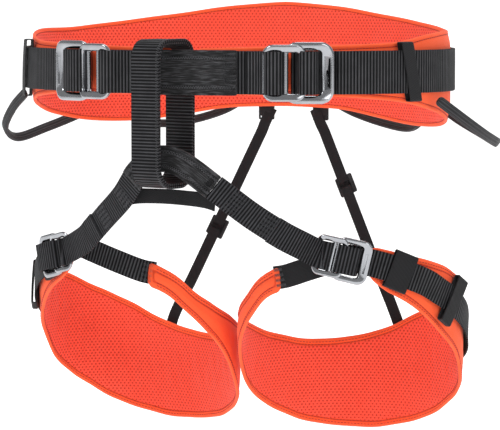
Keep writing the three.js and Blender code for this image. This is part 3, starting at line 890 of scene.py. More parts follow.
points, wide, normals = wall_route(on_waist, SLEEVE_FIRST, SLEEVE_LAST, 0.0148, 0.0, 60)
sleeve = rounded_strap("tie_in_sleeve", points, wide, normals, WEB_WIDTH + 0.001, 0.0042, sleeve_cloth, 40)
cords = [round_cord("piping", points + wide * offset + normals * 0.0006, PIPING_RADIUS, sleeve_cloth)
         for offset in (-WEB_HALF, WEB_HALF - 0.0004)]
join_pieces(sleeve, *cords)
runs = []
for offset in (-0.0145, 0.0145):
    runs.append(zigzag(points, wide, normals, offset, ZIGZAG_WIDTH, ZIGZAG_PITCH, 0.0022))
tack = slice(52, 59)
for offset in np.linspace(-0.016, 0.016, 5):
    runs.append(zigzag(points[tack], wide[tack], normals[tack], offset, 0.006, 0.0012, 0.0023))
thread = thread_tubes("tie_in_sleeve_stitching", runs, BLACK_THREAD_RADIUS, black_thread, 5)
for piece in (sleeve, thread):
    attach(piece, "waist")
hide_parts("tie_in_sleeve")


# ---- Tie-in loop -----------------------------------------------------------------------------
# A ring of heavy webbing, two plies thick, that passes behind the belt webbing and under the leg
# bridge. One edge is overcast with zigzag, and bar tacks close the ring on its rear strand.

LOOP_WIDTH = 0.033
LOOP_DEPTH = 0.064
LOOP_TOP = 0.033
LOOP_BOTTOM = -0.1155
LOOP_CORNER = 0.024
LOOP_TOP_CORNER = 0.019
LOOP_PLY = 0.0025
LOOP_RIB = 0.0033
# Painted highlight for the loop's rib crests.
LOOP_PAINTED_HIGHLIGHT = (0.105, 0.106, 0.115, 1)
LOOP_PLACE = np.array([-0.019, -0.166])
LOOP_TURN = math.radians(-14)

heavy_webbing = webbing_material("heavy_webbing", LOOP_RIB, 0.0010, PAINTED_GROOVE_SHADE, LOOP_PAINTED_HIGHLIGHT, 0.0010)


def rounded_outline(width, height, corner, top_corner, inset, count):
    """A closed rounded rectangle as points and outward normals, set in from its outline."""
    w, h = width / 2 - inset, height / 2 - inset
    points, normals = [], []
    corners = [(w, -h, corner, -90), (w, h, top_corner, 0), (-w, h, top_corner, 90), (-w, -h, corner, 180)]
    for x, y, radius, start in corners:
        r = max(radius - inset, 0.0005)
        for step in np.linspace(0, 90, 14):
            angle = math.radians(start + step)
            across = x - math.copysign(r, x) + r * math.cos(angle)
            upward = y - math.copysign(r, y) + r * math.sin(angle)
            points.append((across, upward))
            normals.append((math.cos(angle), math.sin(angle)))
    points.append(points[0])
    normals.append(normals[0])
    points, normals = np.array(points), np.array(normals)
    lengths = lengths_of(points)
    at = np.linspace(0, lengths[-1], count)
    points = between(at, lengths, points)
    normals = between(at, lengths, normals)
    return points, unit_rows(normals)


loop_wide = np.array([math.cos(LOOP_TURN), math.sin(LOOP_TURN), 0.0])
loop_rear = np.array([-math.sin(LOOP_TURN), math.cos(LOOP_TURN), 0.0])
loop_centre = np.array([LOOP_PLACE[0], LOOP_PLACE[1], (LOOP_TOP + LOOP_BOTTOM) / 2])


def loop_route(inset, count=200):
    height = LOOP_TOP - LOOP_BOTTOM
    flat, out = rounded_outline(LOOP_DEPTH, height, LOOP_CORNER, LOOP_TOP_CORNER, inset, count)
    up = np.array([0.0, 0, 1])
    points = loop_centre + flat[:, :1] * loop_rear + flat[:, 1:] * up
    normals = out[:, :1] * loop_rear + out[:, 1:] * up
    return points, np.tile(loop_wide, (count, 1)), normals


plies = []
for ply, inset in enumerate((LOOP_PLY * 0.5, LOOP_PLY * 1.5 + 0.0002)):
    points, wide, normals = loop_route(inset)
    ply_width = LOOP_WIDTH - ply * 0.0004
    plies.append(ribbon(f"tie_in_ply_{ply}", points, wide, normals, ply_width, LOOP_PLY - 0.0002,
                        heavy_webbing, closed=True))
tie_in_loop = join_pieces(*plies)
tie_in_loop.name = "tie_in_loop_webbing"
points, wide, normals = loop_route(0)
runs = [zigzag(points, wide, normals, LOOP_WIDTH / 2 - 0.0016, 0.003, 0.0022, 0.0001)]
rear = (points - loop_centre) @ loop_rear > LOOP_DEPTH / 2 - 0.001
for low, high in ((-0.062, -0.040), (-0.030, -0.008)):
    patch = rear & (points[:, 2] > low) & (points[:, 2] < high)
    for offset in np.linspace(-0.011, 0.009, 6):
        runs.append(zigzag(points[patch], wide[patch], normals[patch], offset, 0.0028, 0.0011, 0.0002))
loop_thread = thread_tubes("tie_in_loop_stitching", runs, 0.00034, black_thread, 5)
for piece in (tie_in_loop, loop_thread):
    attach(piece, "tie_in")
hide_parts("tie_in_loop")


# ---- Leg bridge ------------------------------------------------------------------------------
# One long webbing from leg buckle to leg buckle, through the tie-in loop. A corded wear sleeve
# covers its middle, and a flat elastic crossbar below the loop keeps the two sides together.

BRIDGE = np.array([
    (-147, -91, -187), (-128, -108, -175), (-97, -132, -150), (-69, -152, -127), (-44, -169, -100),
    (-19, -176, -86), (6, -177, -91), (39, -168, -116), (69, -148, -143), (97, -123, -166),
    (112, -107, -176), (122, -97, -181),
]) * 0.001
CROSSBAR = np.array([(-66, -147, -126), (-18, -156, -125), (34, -160, -128)]) * 0.001
BRIDGE_WIDTH = 0.027
BRIDGE_SLEEVE = (0.37, 0.66)
BRIDGE_RIB = 0.0034
# Painted highlight for the bridge webbing's rib crests.
BRIDGE_PAINTED_HIGHLIGHT = (0.088, 0.089, 0.098, 1)
BRIDGE_POINTS = 401
BRIDGE_PLY = 0.0024
BRIDGE_SLEEVE_WIDTH = 0.0262
BRIDGE_SLEEVE_DEPTH = 0.0056
# Painted highlight for the crests of the elastic's twill.
ELASTIC_PAINTED_HIGHLIGHT = (0.020, 0.020, 0.023, 1)


def smooth_curve(corners, count):
    """A smooth line through given points."""
    corners = np.asarray(corners, float)
    padded = np.vstack([2 * corners[0] - corners[1], corners, 2 * corners[-1] - corners[-2]])
    line = []
    for i in range(1, len(padded) - 2):
        a, b, c, d = padded[i - 1:i + 3]
        for t in np.linspace(0, 1, 24, endpoint=False):
            line.append(0.5 * (2 * b + (c - a) * t + (2 * a - 5 * b + 4 * c - d) * t * t
                               + (3 * b - a - 3 * c + d) * t ** 3))
    line.append(padded[-2])
    line = np.array(line)
    lengths = lengths_of(line)
    at = np.linspace(0, lengths[-1], count)
    return between(at, lengths, line)


def strap_frame(points, outward):
    """How a strap lies along a line when its face looks outward."""
    ahead = unit_rows(np.gradient(points, axis=0))
    wide = unit_rows(np.cross(outward, ahead))
    return wide, np.cross(ahead, wide)


def bridge_outward(points):
    outward = np.stack([points[:, 0] / 0.34, -np.ones(len(points)), np.zeros(len(points))], 1)
    return unit_rows(outward)


bridge_webbing = webbing_material("bridge_webbing", BRIDGE_RIB, 0.0010, PAINTED_GROOVE_SHADE, BRIDGE_PAINTED_HIGHLIGHT, 0.0009)
line = smooth_curve(BRIDGE, BRIDGE_POINTS)
line_wide, line_normal = strap_frame(line, bridge_outward(line))
sleeve_start, sleeve_end = (int((BRIDGE_POINTS - 1) * share) for share in BRIDGE_SLEEVE)
part = slice(sleeve_start, sleeve_end, 2)
bridge_sleeve = rounded_strap("bridge_sleeve_cover", line[part], line_wide[part], line_normal[part],
                              BRIDGE_SLEEVE_WIDTH, BRIDGE_SLEEVE_DEPTH, sleeve_cloth, 36)
cords = []
for offset in (-0.0122, 0.0122):
    route = line[part] + line_wide[part] * offset + line_normal[part] * 0.0018
    cords.append(round_cord("bridge_piping", route, 0.0012, sleeve_cloth))
join_pieces(bridge_sleeve, *cords)
runs = [zigzag(line[part], line_wide[part], line_normal[part], offset, 0.0024, 0.0026, 0.0031)
        for offset in (-0.0075, 0.0075)]
for end in (slice(sleeve_start + 3, sleeve_start + 12), slice(sleeve_end - 12, sleeve_end - 3)):
    for offset in (-0.007, 0, 0.007):
        runs.append(zigzag(line[end], line_wide[end], line_normal[end], offset, 0.006, 0.0011, 0.0031))
bridge_thread = thread_tubes("bridge_sleeve_stitching", runs, BLACK_THREAD_RADIUS, black_thread, 5)
for piece in (bridge_sleeve, bridge_thread):
    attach(piece, "waist")
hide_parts("bridge_sleeve")

BRIDGE_ENDS = {"left": (sleeve_end - 2, 372), "right": (sleeve_start + 2, 28)}
for name, (start, end) in BRIDGE_ENDS.items():
    order = np.arange(start, end, 1 if end > start else -1)
    points = line[order]
    strap = ribbon("bridge_webbing_" + name, points, line_wide[order], line_normal[order], BRIDGE_WIDTH,
                   BRIDGE_PLY, bridge_webbing)
    runs = []
    for first, last in ((20, 36), (62, 80)):
        patch = order[first:last]
        for offset in np.linspace(-0.009, 0.009, 5):
            runs.append(zigzag(line[patch], line_wide[patch], line_normal[patch], offset, 0.003, 0.0011,
                               0.0013))
    thread = thread_tubes(f"bridge_tacks_{name}", runs, BLACK_THREAD_RADIUS, black_thread, 5)
    for piece in (strap, thread):
        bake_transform(piece)
    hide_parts("bridge_strap_" + name)

elastic, tree, shader = fabric_material("elastic", 0.7, 0.04)
surface = add_node(tree, "ShaderNodeUVMap", uv_map="cloth").outputs[0]
turned = add_node(tree, "ShaderNodeMapping", {"Vector": surface, "Rotation": (0, 0, math.radians(38))})
twill = place_group(tree, ribs, Vector=turned.outputs[0], Pitch=0.0012, Yarn=0.0009)
cloud = place_group(tree, handling, Vector=surface, Scale=70.0).outputs["Cloud"]
# Painted light: the twill crests get a painted highlight, and the deep black between them is painted shade in
# the grooves.
painted_twill_light = maths(tree, "MULTIPLY", twill.outputs["Rib"], maths(tree, "MULTIPLY_ADD", cloud, 0.4, 0.6))
tree.links.new(mix_colours(tree, painted_twill_light, DEEP_BLACK, ELASTIC_PAINTED_HIGHLIGHT), shader.inputs["Base Color"])
tree.links.new(maths(tree, "MULTIPLY_ADD", cloud, 0.1, 0.62), shader.inputs["Roughness"])
add_bump(tree, shader, twill.outputs["Rib"], 0.0004)

bar = smooth_curve(CROSSBAR, 60)
bar_wide, bar_normal = strap_frame(bar, bridge_outward(bar))
gusset = 0.015 + 0.006 * np.abs(np.linspace(-1, 1, 60)) ** 6
crossbar = ribbon("bridge_crossbar_band", bar, bar_wide, bar_normal, gusset, BRIDGE_PLY, elastic)
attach(crossbar, "waist")
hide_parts("bridge_crossbar")


# ---- Leg webbing and tabs --------------------------------------------------------------------
# Narrower ribbed webbing is sewn to the outside of each leg pad and runs up to the leg buckle. At
# the inner thigh a short webbing tab is sewn into the pad's end and joins it to the bridge.

LEG_WEB_CENTRE = np.array([
    (105, -337), (140, -318), (170, -288), (198, -252), (216, -232), (234, -213), (255, -197), (270, -189),
]) * (1, 0.001)
LEG_WEB = (0.0098, 0.0116)
LEG_WEB_WIDTH = 0.028
LEG_WEB_FIRST = 105
LEG_RIB = 0.0036
# Painted highlight for the leg webbing's rib crests.
LEG_PAINTED_HIGHLIGHT = (0.110, 0.111, 0.120, 1)
TAB_WIDTH = 0.024
TAB_PLY = 0.002
LEG_BUCKLE_BEARING = {"left": 275, "right": 257}
TAB = [
    (-47, 0.0030, -0.2125), (-55, 0.0036, -0.2095), (-68, 0.0042, -0.2010), (-82, 0.0042, -0.1920),
    (-91, 0.0036, -0.1870),
]

leg_webbing = webbing_material("leg_webbing", LEG_RIB, 0.0010, PAINTED_GROOVE_SHADE, LEG_PAINTED_HIGHLIGHT, 0.0010)


def web_height(bearing):
    return height_at(LEG_WEB_CENTRE, bearing)


for name, side in SIDES.items():
    wall = leg_wall(side)
    points, wide, normals = wall_route(wall, LEG_WEB_FIRST, LEG_BUCKLE_BEARING[name], middle_of(LEG_WEB),
                                       web_height, 260)
    strap = ribbon("leg_strap_" + name, points, wide, normals, LEG_WEB_WIDTH, LEG_WEB[1] - LEG_WEB[0],
                   leg_webbing)
    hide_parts("leg_webbing_" + name)
    corners = np.array([wall(np.array([b]), np.array([out]), np.array([z]))[0] for b, out, z in TAB])
    tab_line = smooth_curve(corners, 60)
    outward = wall(np.array([-70]), np.array([1.0]), 0)[0] - wall(np.array([-70]), np.array([0.0]), 0)[0]
    tab_wide, tab_normal = strap_frame(tab_line, np.tile(outward, (60, 1)))
    tab = ribbon("inner_tab_" + name, tab_line, tab_wide, tab_normal, TAB_WIDTH, TAB_PLY,
                 leg_webbing if name == "right" else elastic)
    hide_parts("leg_tab_" + name)
    runs = [zigzag(points[first:last], wide[first:last], normals[first:last], offset, 0.0034, 0.0012, 0.001)
            for first, last in ((4, 14), (60, 70), (120, 130)) for offset in np.linspace(-0.009, 0.009, 5)]
    tack = slice(2, 10)
    runs += [zigzag(tab_line[tack], tab_wide[tack], tab_normal[tack], offset, 0.003, 0.0012, 0.004)
             for offset in np.linspace(-0.008, 0.008, 4)]
    thread = thread_tubes("leg_tacks_" + name, runs, 0.0003, black_thread, 5)
    for piece in (strap, tab, thread):
        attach(piece, "leg_" + name)


# ---- Elastic keepers -------------------------------------------------------------------------
# Woven elastic bands round a strap, sewn into rings. One holds each belt tail down, and two lie on
# each leg: a wide smooth one that slides, and a narrow slanted one.

WAIST_KEEPER_BEARING = 65
KEEPER_WALL = 0.0011
KEEPER_CORNER = 0.0014
WAIST_KEEPER = {"depth": 0.0084, "tall": 0.0600, "width": 0.0150, "slant": -0.2}
LEG_KEEPER_DEPTH = 0.0066


def keeper_ring(name, centre, along, outward, deep, tall, width, slant, material):
    """A rounded band round a strap. slant shears it along the strap from bottom to top."""
    up = np.cross(outward, along)
    flat, out = rounded_outline(deep, tall, KEEPER_CORNER, KEEPER_CORNER, KEEPER_WALL / 2, 90)
    points = centre + flat[:, :1] * outward + flat[:, 1:] * up + along * (flat[:, 1:] * slant)
    normals = out[:, :1] * outward + out[:, 1:] * up
    swell = np.clip(out[:, 0], 0, 1) * 0.0006 * np.cos(flat[:, 1] / tall * math.pi)
    points = points + outward * swell[:, None]
    return ribbon(name, points, np.tile(along, (90, 1)), normals, width, KEEPER_WALL, material, closed=True,
                  edge=0.0004)


def seat_on(wall, bearing, out, height):
    """The place, the direction of growing bearing and the outward normal of a seat on a wall."""
    near = np.array([bearing - 1.0, bearing, bearing + 1.0])
    heights = height(near) if callable(height) else np.full(3, height)
    points = wall(near, np.full(3, out), heights)
    normal = (wall(near, np.ones(3), heights) - wall(near, np.zeros(3), heights))[1]
    along = points[2] - points[0]
    along /= np.linalg.norm(along)
    normal = normal - along * np.dot(normal, along)
    return points[1], along, normal / np.linalg.norm(normal)


for name, side in SIDES.items():
    middle = (WAIST_WEB[0] + WAIST_TAIL[1]) / 2
    centre, along, outward = seat_on(on_waist, side * WAIST_KEEPER_BEARING, middle, 0.0)
    keeper = keeper_ring("belt_keeper_" + name, centre, along, outward, WAIST_KEEPER["depth"],
                         WAIST_KEEPER["tall"], WAIST_KEEPER["width"], WAIST_KEEPER["slant"] * side, elastic)
    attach(keeper, "waist")
    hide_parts("waist_keeper_" + name)
    wall = leg_wall(side)
    for label, bearing, width, tall, slant, body in (
        ("wide", 246, 0.025, 0.0400, 0.0, "leg_keeper_" + name),
        ("slant", 211, 0.0175, 0.0540, 0.1 * side, "leg_" + name),
    ):
        centre, along, outward = seat_on(wall, bearing, middle_of(LEG_WEB), web_height)
        keeper = keeper_ring(f"leg_band_{label}_{name}", centre, along, outward, LEG_KEEPER_DEPTH, tall,
                             width, slant, elastic)
        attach(keeper, body)
        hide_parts(f"leg_keeper_{label}_{name}")


# ---- Buckles ---------------------------------------------------------------------------------
# Forged light-alloy buckles, polished all over. A large frame carries the fixed webbing, and a
# smaller slider tips against it to let the strap run. The webbing climbs over their bars in humps.

FRAME_SIZE = {
    "width": 0.050, "height": 0.061, "corner": 0.013, "outer": 0.0130, "inner": 0.0050, "ends": 0.0085,
}
SLIDER_SIZE = {
    "width": 0.043, "height": 0.056, "corner": 0.010, "outer": 0.0060, "inner": 0.0060, "ends": 0.0078,
}
BAR_THICKNESS = 0.0042
FRAME_SHIFT = 0.008
SLIDER_SHIFT = 0.012
SLIDER_GAP = 0.0045
LEG_SCALE = 0.74
BAR_CROWN = 0.0034
PIN_RADIUS = 0.0021
HUMP_BASE = -0.0045
HUMP_TOP = 0.0128
HUMP_POINTS = 120
HUMP_PLY = 0.0018
DARK_ALLOY = (0.27, 0.28, 0.30, 1)
BRIGHT_ALLOY = (0.44, 0.45, 0.47, 1)

polished, tree, shader = fabric_material("polished_alloy", 0.16, 0.0)
shader.inputs["Metallic"].default_value = 1.0
shader.inputs["Specular IOR Level"].default_value = 0.5
place = add_node(tree, "ShaderNodeTexCoord").outputs["Object"]
tumble = add_node(tree, "ShaderNodeTexNoise", {"Vector": place, "Scale": 60.0, "Detail": 3.0})
scratch_way = add_node(tree, "ShaderNodeMapping", {"Vector": place, "Scale": (40, 40, 900)})
scratches = add_node(tree, "ShaderNodeTexNoise",
                     {"Vector": scratch_way.outputs[0], "Scale": 1.0, "Detail": 2.0})
tone = mix_colours(tree, tumble.outputs[0], DARK_ALLOY, BRIGHT_ALLOY)
tree.links.new(tone, shader.inputs["Base Color"])
tree.links.new(maths(tree, "MULTIPLY_ADD", tumble.outputs[0], 0.10, 0.10), shader.inputs["Roughness"])
add_bump(tree, shader, scratches.outputs[0], 0.00002)


def outline_at(x_low, x_high, half_height, corner, count):
    """A rounded rectangle as evenly matched points, so that two of them can be joined by faces."""
    points = []
    per_corner = count // 4
    for cx, cy, start in ((x_high, -half_height, -90), (x_high, half_height, 0), (x_low, half_height, 90),
                          (x_low, -half_height, 180)):
        sx = -1 if cx == x_high else 1
        sy = 1 if cy < 0 else -1
        for step in np.linspace(0, 90, per_corner):
            angle = math.radians(start + step)
            across = cx + sx * corner + corner * math.cos(angle)
            upward = cy + sy * corner + corner * math.sin(angle)
            points.append((across, upward))
    return np.array(points)


def forged_ring(name, size, to_outer, shift, scale, level):
    """A buckle part in its own seat: X along the strap, Y across, Z out. Its bars are chamfered."""
    count = 40
    half = size["width"] / 2
    outer = outline_at(-half, half, size["height"] / 2, size["corner"], count)
    opening = size["height"] / 2 - size["ends"]
    window = outline_at(-half + size["inner"], half - size["outer"], opening, 0.0035, count)
    profile = [
        (0, 0.35), (0, 0.75), (0.16, 1), (0.55, 1.05), (0.86, 1), (1, 0.72), (1, 0.28), (0.84, 0), (0.16, 0),
    ]
    piece, u, s = wrapped_tube(name, len(profile), count)
    i = np.round(u * count).astype(int) % count
    k = np.round(s * len(profile)).astype(int) % len(profile)
    share = np.array([p[0] for p in profile])[k]
    rise = np.array([p[1] for p in profile])[k]
    flat = outer[i] * (1 - share[:, None]) + window[i] * share[:, None]
    crown = BAR_CROWN * (1 - (flat[:, 0] / half) ** 2) * smooth(np.abs(flat[:, 1]), 0.016, 0.027)
    z = level + rise * BAR_THICKNESS + crown
    set_points(piece, np.stack([flat[:, 0] * to_outer + shift, flat[:, 1], z], 1) * scale)
    close_tube(piece, cap=False)
    apply_modifier(piece, "BEVEL", width=0.0004 * scale, segments=2, angle_limit=math.radians(25))
    bpy.ops.object.shade_smooth_by_angle(angle=math.radians(38))
    piece.data.materials.append(polished)
    return piece


def round_bar(name, x, half_length, radius, level, scale):
    """A straight bar across a buckle's window, joined to its frame."""
    bpy.ops.object.select_all(action="DESELECT")
    bpy.ops.mesh.primitive_cylinder_add(vertices=20, radius=radius, depth=2 * half_length, location=(0, 0, 0))
    bar = bpy.context.object
    bar.name = name
    for vertex in bar.data.vertices:
        vertex.co = (vertex.co.x + x, vertex.co.z, vertex.co.y * 0.8 + level)
        vertex.co *= scale
    close_tube(bar, cap=False)
    bpy.ops.object.shade_smooth_by_angle(angle=math.radians(40))
    bar.data.materials.append(polished)
    return bar


def grip_groove(piece, to_outer, shift, scale):
    """A shallow plain recess along the face of the outer bar."""
    middle = shift + to_outer * (FRAME_SIZE["width"] / 2 - FRAME_SIZE["outer"] / 2)
    bpy.ops.object.select_all(action="DESELECT")
    bpy.ops.mesh.primitive_cube_add(size=1, location=(0, 0, 0))
    cutter = bpy.context.object
    for vertex in cutter.data.vertices:
        vertex.co = Vector((middle + vertex.co.x * 0.0034, vertex.co.y * 0.028,
                            BAR_THICKNESS * 1.05 + vertex.co.z * 0.0012)) * scale
    apply_modifier(cutter, "BEVEL", width=0.0015 * scale, segments=4, affect="EDGES",
                   angle_limit=math.radians(30))
    apply_modifier(piece, "BOOLEAN", object=cutter, operation="DIFFERENCE", solver="EXACT")
    bpy.data.objects.remove(cutter)
    bpy.ops.object.shade_smooth_by_angle(angle=math.radians(38))


def put_on_seat(piece, seat):
    """Moves a piece's mesh from its own seat into place."""
    origin, along, outward = seat
    across = np.cross(outward, along)
    points = points_of(piece)
    set_points(piece, origin + points[:, :1] * along + points[:, 1:2] * across + points[:, 2:] * outward)
    turned_over = np.dot(np.cross(along, across), outward) < 0
    if turned_over:
        piece.data.flip_normals()


def hump(name, seat, stations, width, thickness, material, tail=()):
    """Webbing that climbs over a bar. stations are (along, out) in the seat, and tail adds places and
    directions outside it, where the webbing runs on."""
    origin, along, outward = seat
    across = np.cross(outward, along)
    corners = [origin + along * x + outward * z for x, z in stations] + [place for place, _ in tail]
    ways = [across] * len(stations) + [way * np.sign(np.dot(way, across)) for _, way in tail]
    line = smooth_curve(np.array(corners), HUMP_POINTS)
    nearest = [int(np.argmin(np.linalg.norm(line - corner, axis=1))) for corner in corners]
    ways = between(np.arange(HUMP_POINTS), nearest, np.array(ways))
    ahead = unit_rows(np.gradient(line, axis=0))
    ways = unit_rows(ways - ahead * np.sum(ways * ahead, axis=1, keepdims=True))
    normal = np.cross(ahead, ways)
    flip = 1 if np.dot(normal[len(stations) * 5], outward) > 0 else -1
    return ribbon(name, line, ways * flip, normal * flip, width, thickness, material)


def fit_buckle(prefix, seat, side, scale, spreads, gap, bodies, material, web_width, wrap=0.0, tail=()):
    """A buckle with its webbing. gap is where the two humps end, so that the pad shows between them."""
    frame_shift = side * (FRAME_SHIFT + spreads[0])
    slider_shift = -side * (SLIDER_SHIFT + spreads[1] - 0.0015)
    ring = forged_ring(prefix + "_forged_frame", FRAME_SIZE, side, frame_shift, scale, 0)
    grip_groove(ring, side, frame_shift, scale)
    tipping = forged_ring(prefix + "_forged_slider", SLIDER_SIZE, side, slider_shift, scale, SLIDER_GAP)
    pin = round_bar(prefix + "_pin", side * (gap[1] + 0.0012), SLIDER_SIZE["height"] / 2 - 0.004, PIN_RADIUS,
                    SLIDER_GAP + 0.0022, scale)
    join_pieces(tipping, pin)
    for piece in (ring, tipping):
        put_on_seat(piece, seat)
    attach(ring, bodies[0])
    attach(tipping, bodies[1])
    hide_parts(prefix + "_frame")
    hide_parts(prefix + "_slider")
    first = abs(frame_shift) + 0.0105 + wrap
    last, start = gap
    outer_hump = [
        (first, HUMP_BASE), (first - 0.0012, 0.0020), (first - 0.0050, 0.0102),
        ((first + last) / 2, HUMP_TOP), (last + 0.0040, 0.0108), (last + 0.0006, 0.0035), (last, HUMP_BASE),
    ]
    inner_hump = [
        (start, HUMP_BASE), (start - 0.0006, 0.0035), (start - 0.0045, 0.0112),
        (start - 0.0110, HUMP_TOP), (start - 0.0180, 0.0098),
    ]
    if not tail:
        inner_hump += [(start - 0.0270, 0.0010), (start - 0.0370, HUMP_BASE)]
    reach = side * scale
    turns = []
    for label, stations, extra in (("outer", outer_hump, ()), ("inner", inner_hump, tail)):
        places = [(x * reach, z * scale) for x, z in stations]
        turns.append(hump(f"{prefix}_{label}_turn", seat, places, web_width, HUMP_PLY, material, extra))
    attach(turns[0], bodies[0])
    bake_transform(turns[1])


WAIST_SEAT = {"left": 30.3, "right": -31}
WAIST_SPREADS = {"left": (0.002, 0.004), "right": (-0.002, 0.019)}
WAIST_GAP = {"left": (-0.0010, -0.0143), "right": (-0.0140, -0.0354)}
LEG_SPREADS = (0.006, 0.006)
LEG_GAP = (-0.0080, -0.0145)
LEG_WRAP = {"left": 0.0, "right": 0.0165}
BRIDGE_MEETS = {"left": (374, 356, 340), "right": (26, 44, 60)}
for name, side in SIDES.items():
    seat = seat_on(on_waist, WAIST_SEAT[name], WAIST_TAIL[1] + 0.002, 0.0)
    fit_buckle("waist_buckle_" + name, seat, side, 1.0, WAIST_SPREADS[name], WAIST_GAP[name],
               ("waist", "waist_slider_" + name), waist_webbing, WEB_WIDTH - 0.0005)
    wall = leg_wall(side)
    bearing = LEG_BUCKLE_BEARING[name]
    origin, _, outward = seat_on(wall, bearing, LEG_WEB[1] + 0.003, web_height(bearing))
    ahead = wall(np.array([bearing - 4.0]), np.array([LEG_WEB[1] + 0.003]), web_height(bearing) - 0.002)[0]
    along = (ahead - origin) / np.linalg.norm(ahead - origin) * side
    outward = outward - along * np.dot(outward, along)
    outward /= np.linalg.norm(outward)
    tail = [(line[i] + line_normal[i] * 0.0014, line_wide[i]) for i in BRIDGE_MEETS[name]]
    fit_buckle("leg_buckle_" + name, (origin, along, outward), side, LEG_SCALE, LEG_SPREADS, LEG_GAP,
               ("leg_" + name, "leg_slider_" + name), bridge_webbing, BRIDGE_WIDTH + 0.0015, LEG_WRAP[name],
               tail)


# ---- Elastic risers --------------------------------------------------------------------------
# Narrow elastic straps hold the leg loops up behind. Each hangs from a moulded hook on the belt
# and is shortened by a ladder lock.

RISERS = {
    "left": ((38, 161.5, -64), (143, 118, -284), (143, 117, -312), -132),
    "right": ((-25, 161.5, -64), (-120, 118, -284), (-120, 117, -312), -181),
}
RISER_WIDTH = 0.0125
RISER_THICKNESS = 0.0016
ACETAL_BLACK = (0.006, 0.006, 0.007, 1)
ACETAL_SCUFF = (0.018, 0.018, 0.020, 1)
LOCK_LENGTH = 0.022
LOCK_WIDTH = 0.020
LOCK_THICKNESS = 0.0044
LOCK_LEVEL = 0.0034
HOOK_DROP = 0.0110
HOOK_LENGTH = 0.019
HOOK_WIDTH = 0.018
HOOK_THICKNESS = 0.0036

moulded, tree, shader = fabric_material("moulded_acetal", 0.35, 0.0)
place = add_node(tree, "ShaderNodeTexCoord").outputs["Object"]
grain = add_node(tree, "ShaderNodeTexNoise", {"Vector": place, "Scale": 700.0, "Detail": 3.0})
scuff = place_group(tree, handling, Vector=place, Scale=120.0).outputs["Cloud"]
tree.links.new(mix_colours(tree, scuff, ACETAL_BLACK, ACETAL_SCUFF), shader.inputs["Base Color"])
tree.links.new(maths(tree, "MULTIPLY_ADD", scuff, 0.2, 0.32), shader.inputs["Roughness"])
add_bump(tree, shader, grain.outputs[0], 0.0001)


def moulded_plate(name, seat, x, width, height, thickness, level, slots, corner=0.002):
    """A moulded plate with rounded edges and slots, in a seat."""
    bpy.ops.object.select_all(action="DESELECT")
    bpy.ops.mesh.primitive_cube_add(size=1, location=(0, 0, 0))
    plate = bpy.context.object
    plate.name = name
    for vertex in plate.data.vertices:
        vertex.co = (x + vertex.co.x * width, vertex.co.y * height, level + vertex.co.z * thickness)
    apply_modifier(plate, "BEVEL", width=corner, segments=4)
    for slot_x, slot_y, slot_width, slot_height in slots:
        bpy.ops.mesh.primitive_cube_add(size=1, location=(0, 0, 0))
        cutter = bpy.context.object
        for vertex in cutter.data.vertices:
            vertex.co = (slot_x + vertex.co.x * slot_width, slot_y + vertex.co.y * slot_height,
                         level + vertex.co.z * thickness * 3)
        apply_modifier(cutter, "BEVEL", width=min(slot_width, slot_height) * 0.3, segments=3)
        apply_modifier(plate, "BOOLEAN", object=cutter, operation="DIFFERENCE", solver="EXACT")
        bpy.data.objects.remove(cutter)
        bpy.ops.object.select_all(action="DESELECT")
    plate.select_set(True)
    bpy.context.view_layer.objects.active = plate
    bpy.ops.object.shade_smooth_by_angle(angle=math.radians(40))
    plate.data.materials.append(moulded)
    put_on_seat(plate, seat)
    return plate


for name, (top, bottom, end, lock_height) in RISERS.items():
    top, bottom, end = (np.array(p) * 0.001 for p in (top, bottom, end))
    uphill = (top - bottom) / np.linalg.norm(top - bottom)
    rear = np.array([0.0, 1.0, 0.0])
    lock = top + (bottom - top) * ((lock_height * 0.001 - top[2]) / (bottom[2] - top[2]))
    upper = np.linspace(top + uphill * 0.016, lock - uphill * 0.003, 60)
    upper[:, 1] -= 0.0028 * smooth(upper[:, 2], top[2] - 0.012, top[2])
    wide, normals = strap_frame(upper, np.tile(rear, (60, 1)))
    strap = ribbon("riser_upper_band_" + name, upper, wide, normals, RISER_WIDTH, RISER_THICKNESS, elastic)
    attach(strap, "waist")
    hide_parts("riser_upper_" + name)
    lower = smooth_curve([lock + uphill * 0.004, lock + (bottom - lock) * 0.5, bottom, end], 120)
    wide, normals = strap_frame(lower, np.tile(rear, (120, 1)))
    strap = ribbon("riser_lower_band_" + name, lower, wide, normals, RISER_WIDTH, RISER_THICKNESS, elastic)
    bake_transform(strap)
    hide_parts("riser_lower_" + name)
    outward = rear - uphill * np.dot(rear, uphill)
    seat = (lock, -uphill, outward / np.linalg.norm(outward))
    slots = [(-0.0062, 0, 0.0030, RISER_WIDTH - 0.002), (0.0062, 0, 0.0030, RISER_WIDTH - 0.002)]
    ladder = moulded_plate("ladder_lock_" + name, seat, 0.0, LOCK_LENGTH, LOCK_WIDTH, LOCK_THICKNESS,
                           LOCK_LEVEL, slots, 0.0018)
    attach(ladder, "riser_lock_" + name)
    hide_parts("riser_adjuster_" + name)
    hook_seat = (top, np.array([0.0, 0, -1]), rear)
    hook = moulded_plate("belt_hook_" + name, hook_seat, -HOOK_DROP, HOOK_LENGTH, HOOK_WIDTH, HOOK_THICKNESS,
                         0.0, [(-0.0045, 0.0062, 0.0024, 0.0024)], 0.0014)
    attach(hook, "waist")
    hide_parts("riser_hook_" + name)


# ---- Gear loops ------------------------------------------------------------------------------
# Moulded loops for connectors: a flat core in a ribbed black jacket, stiff enough to stand out
# from the belt.

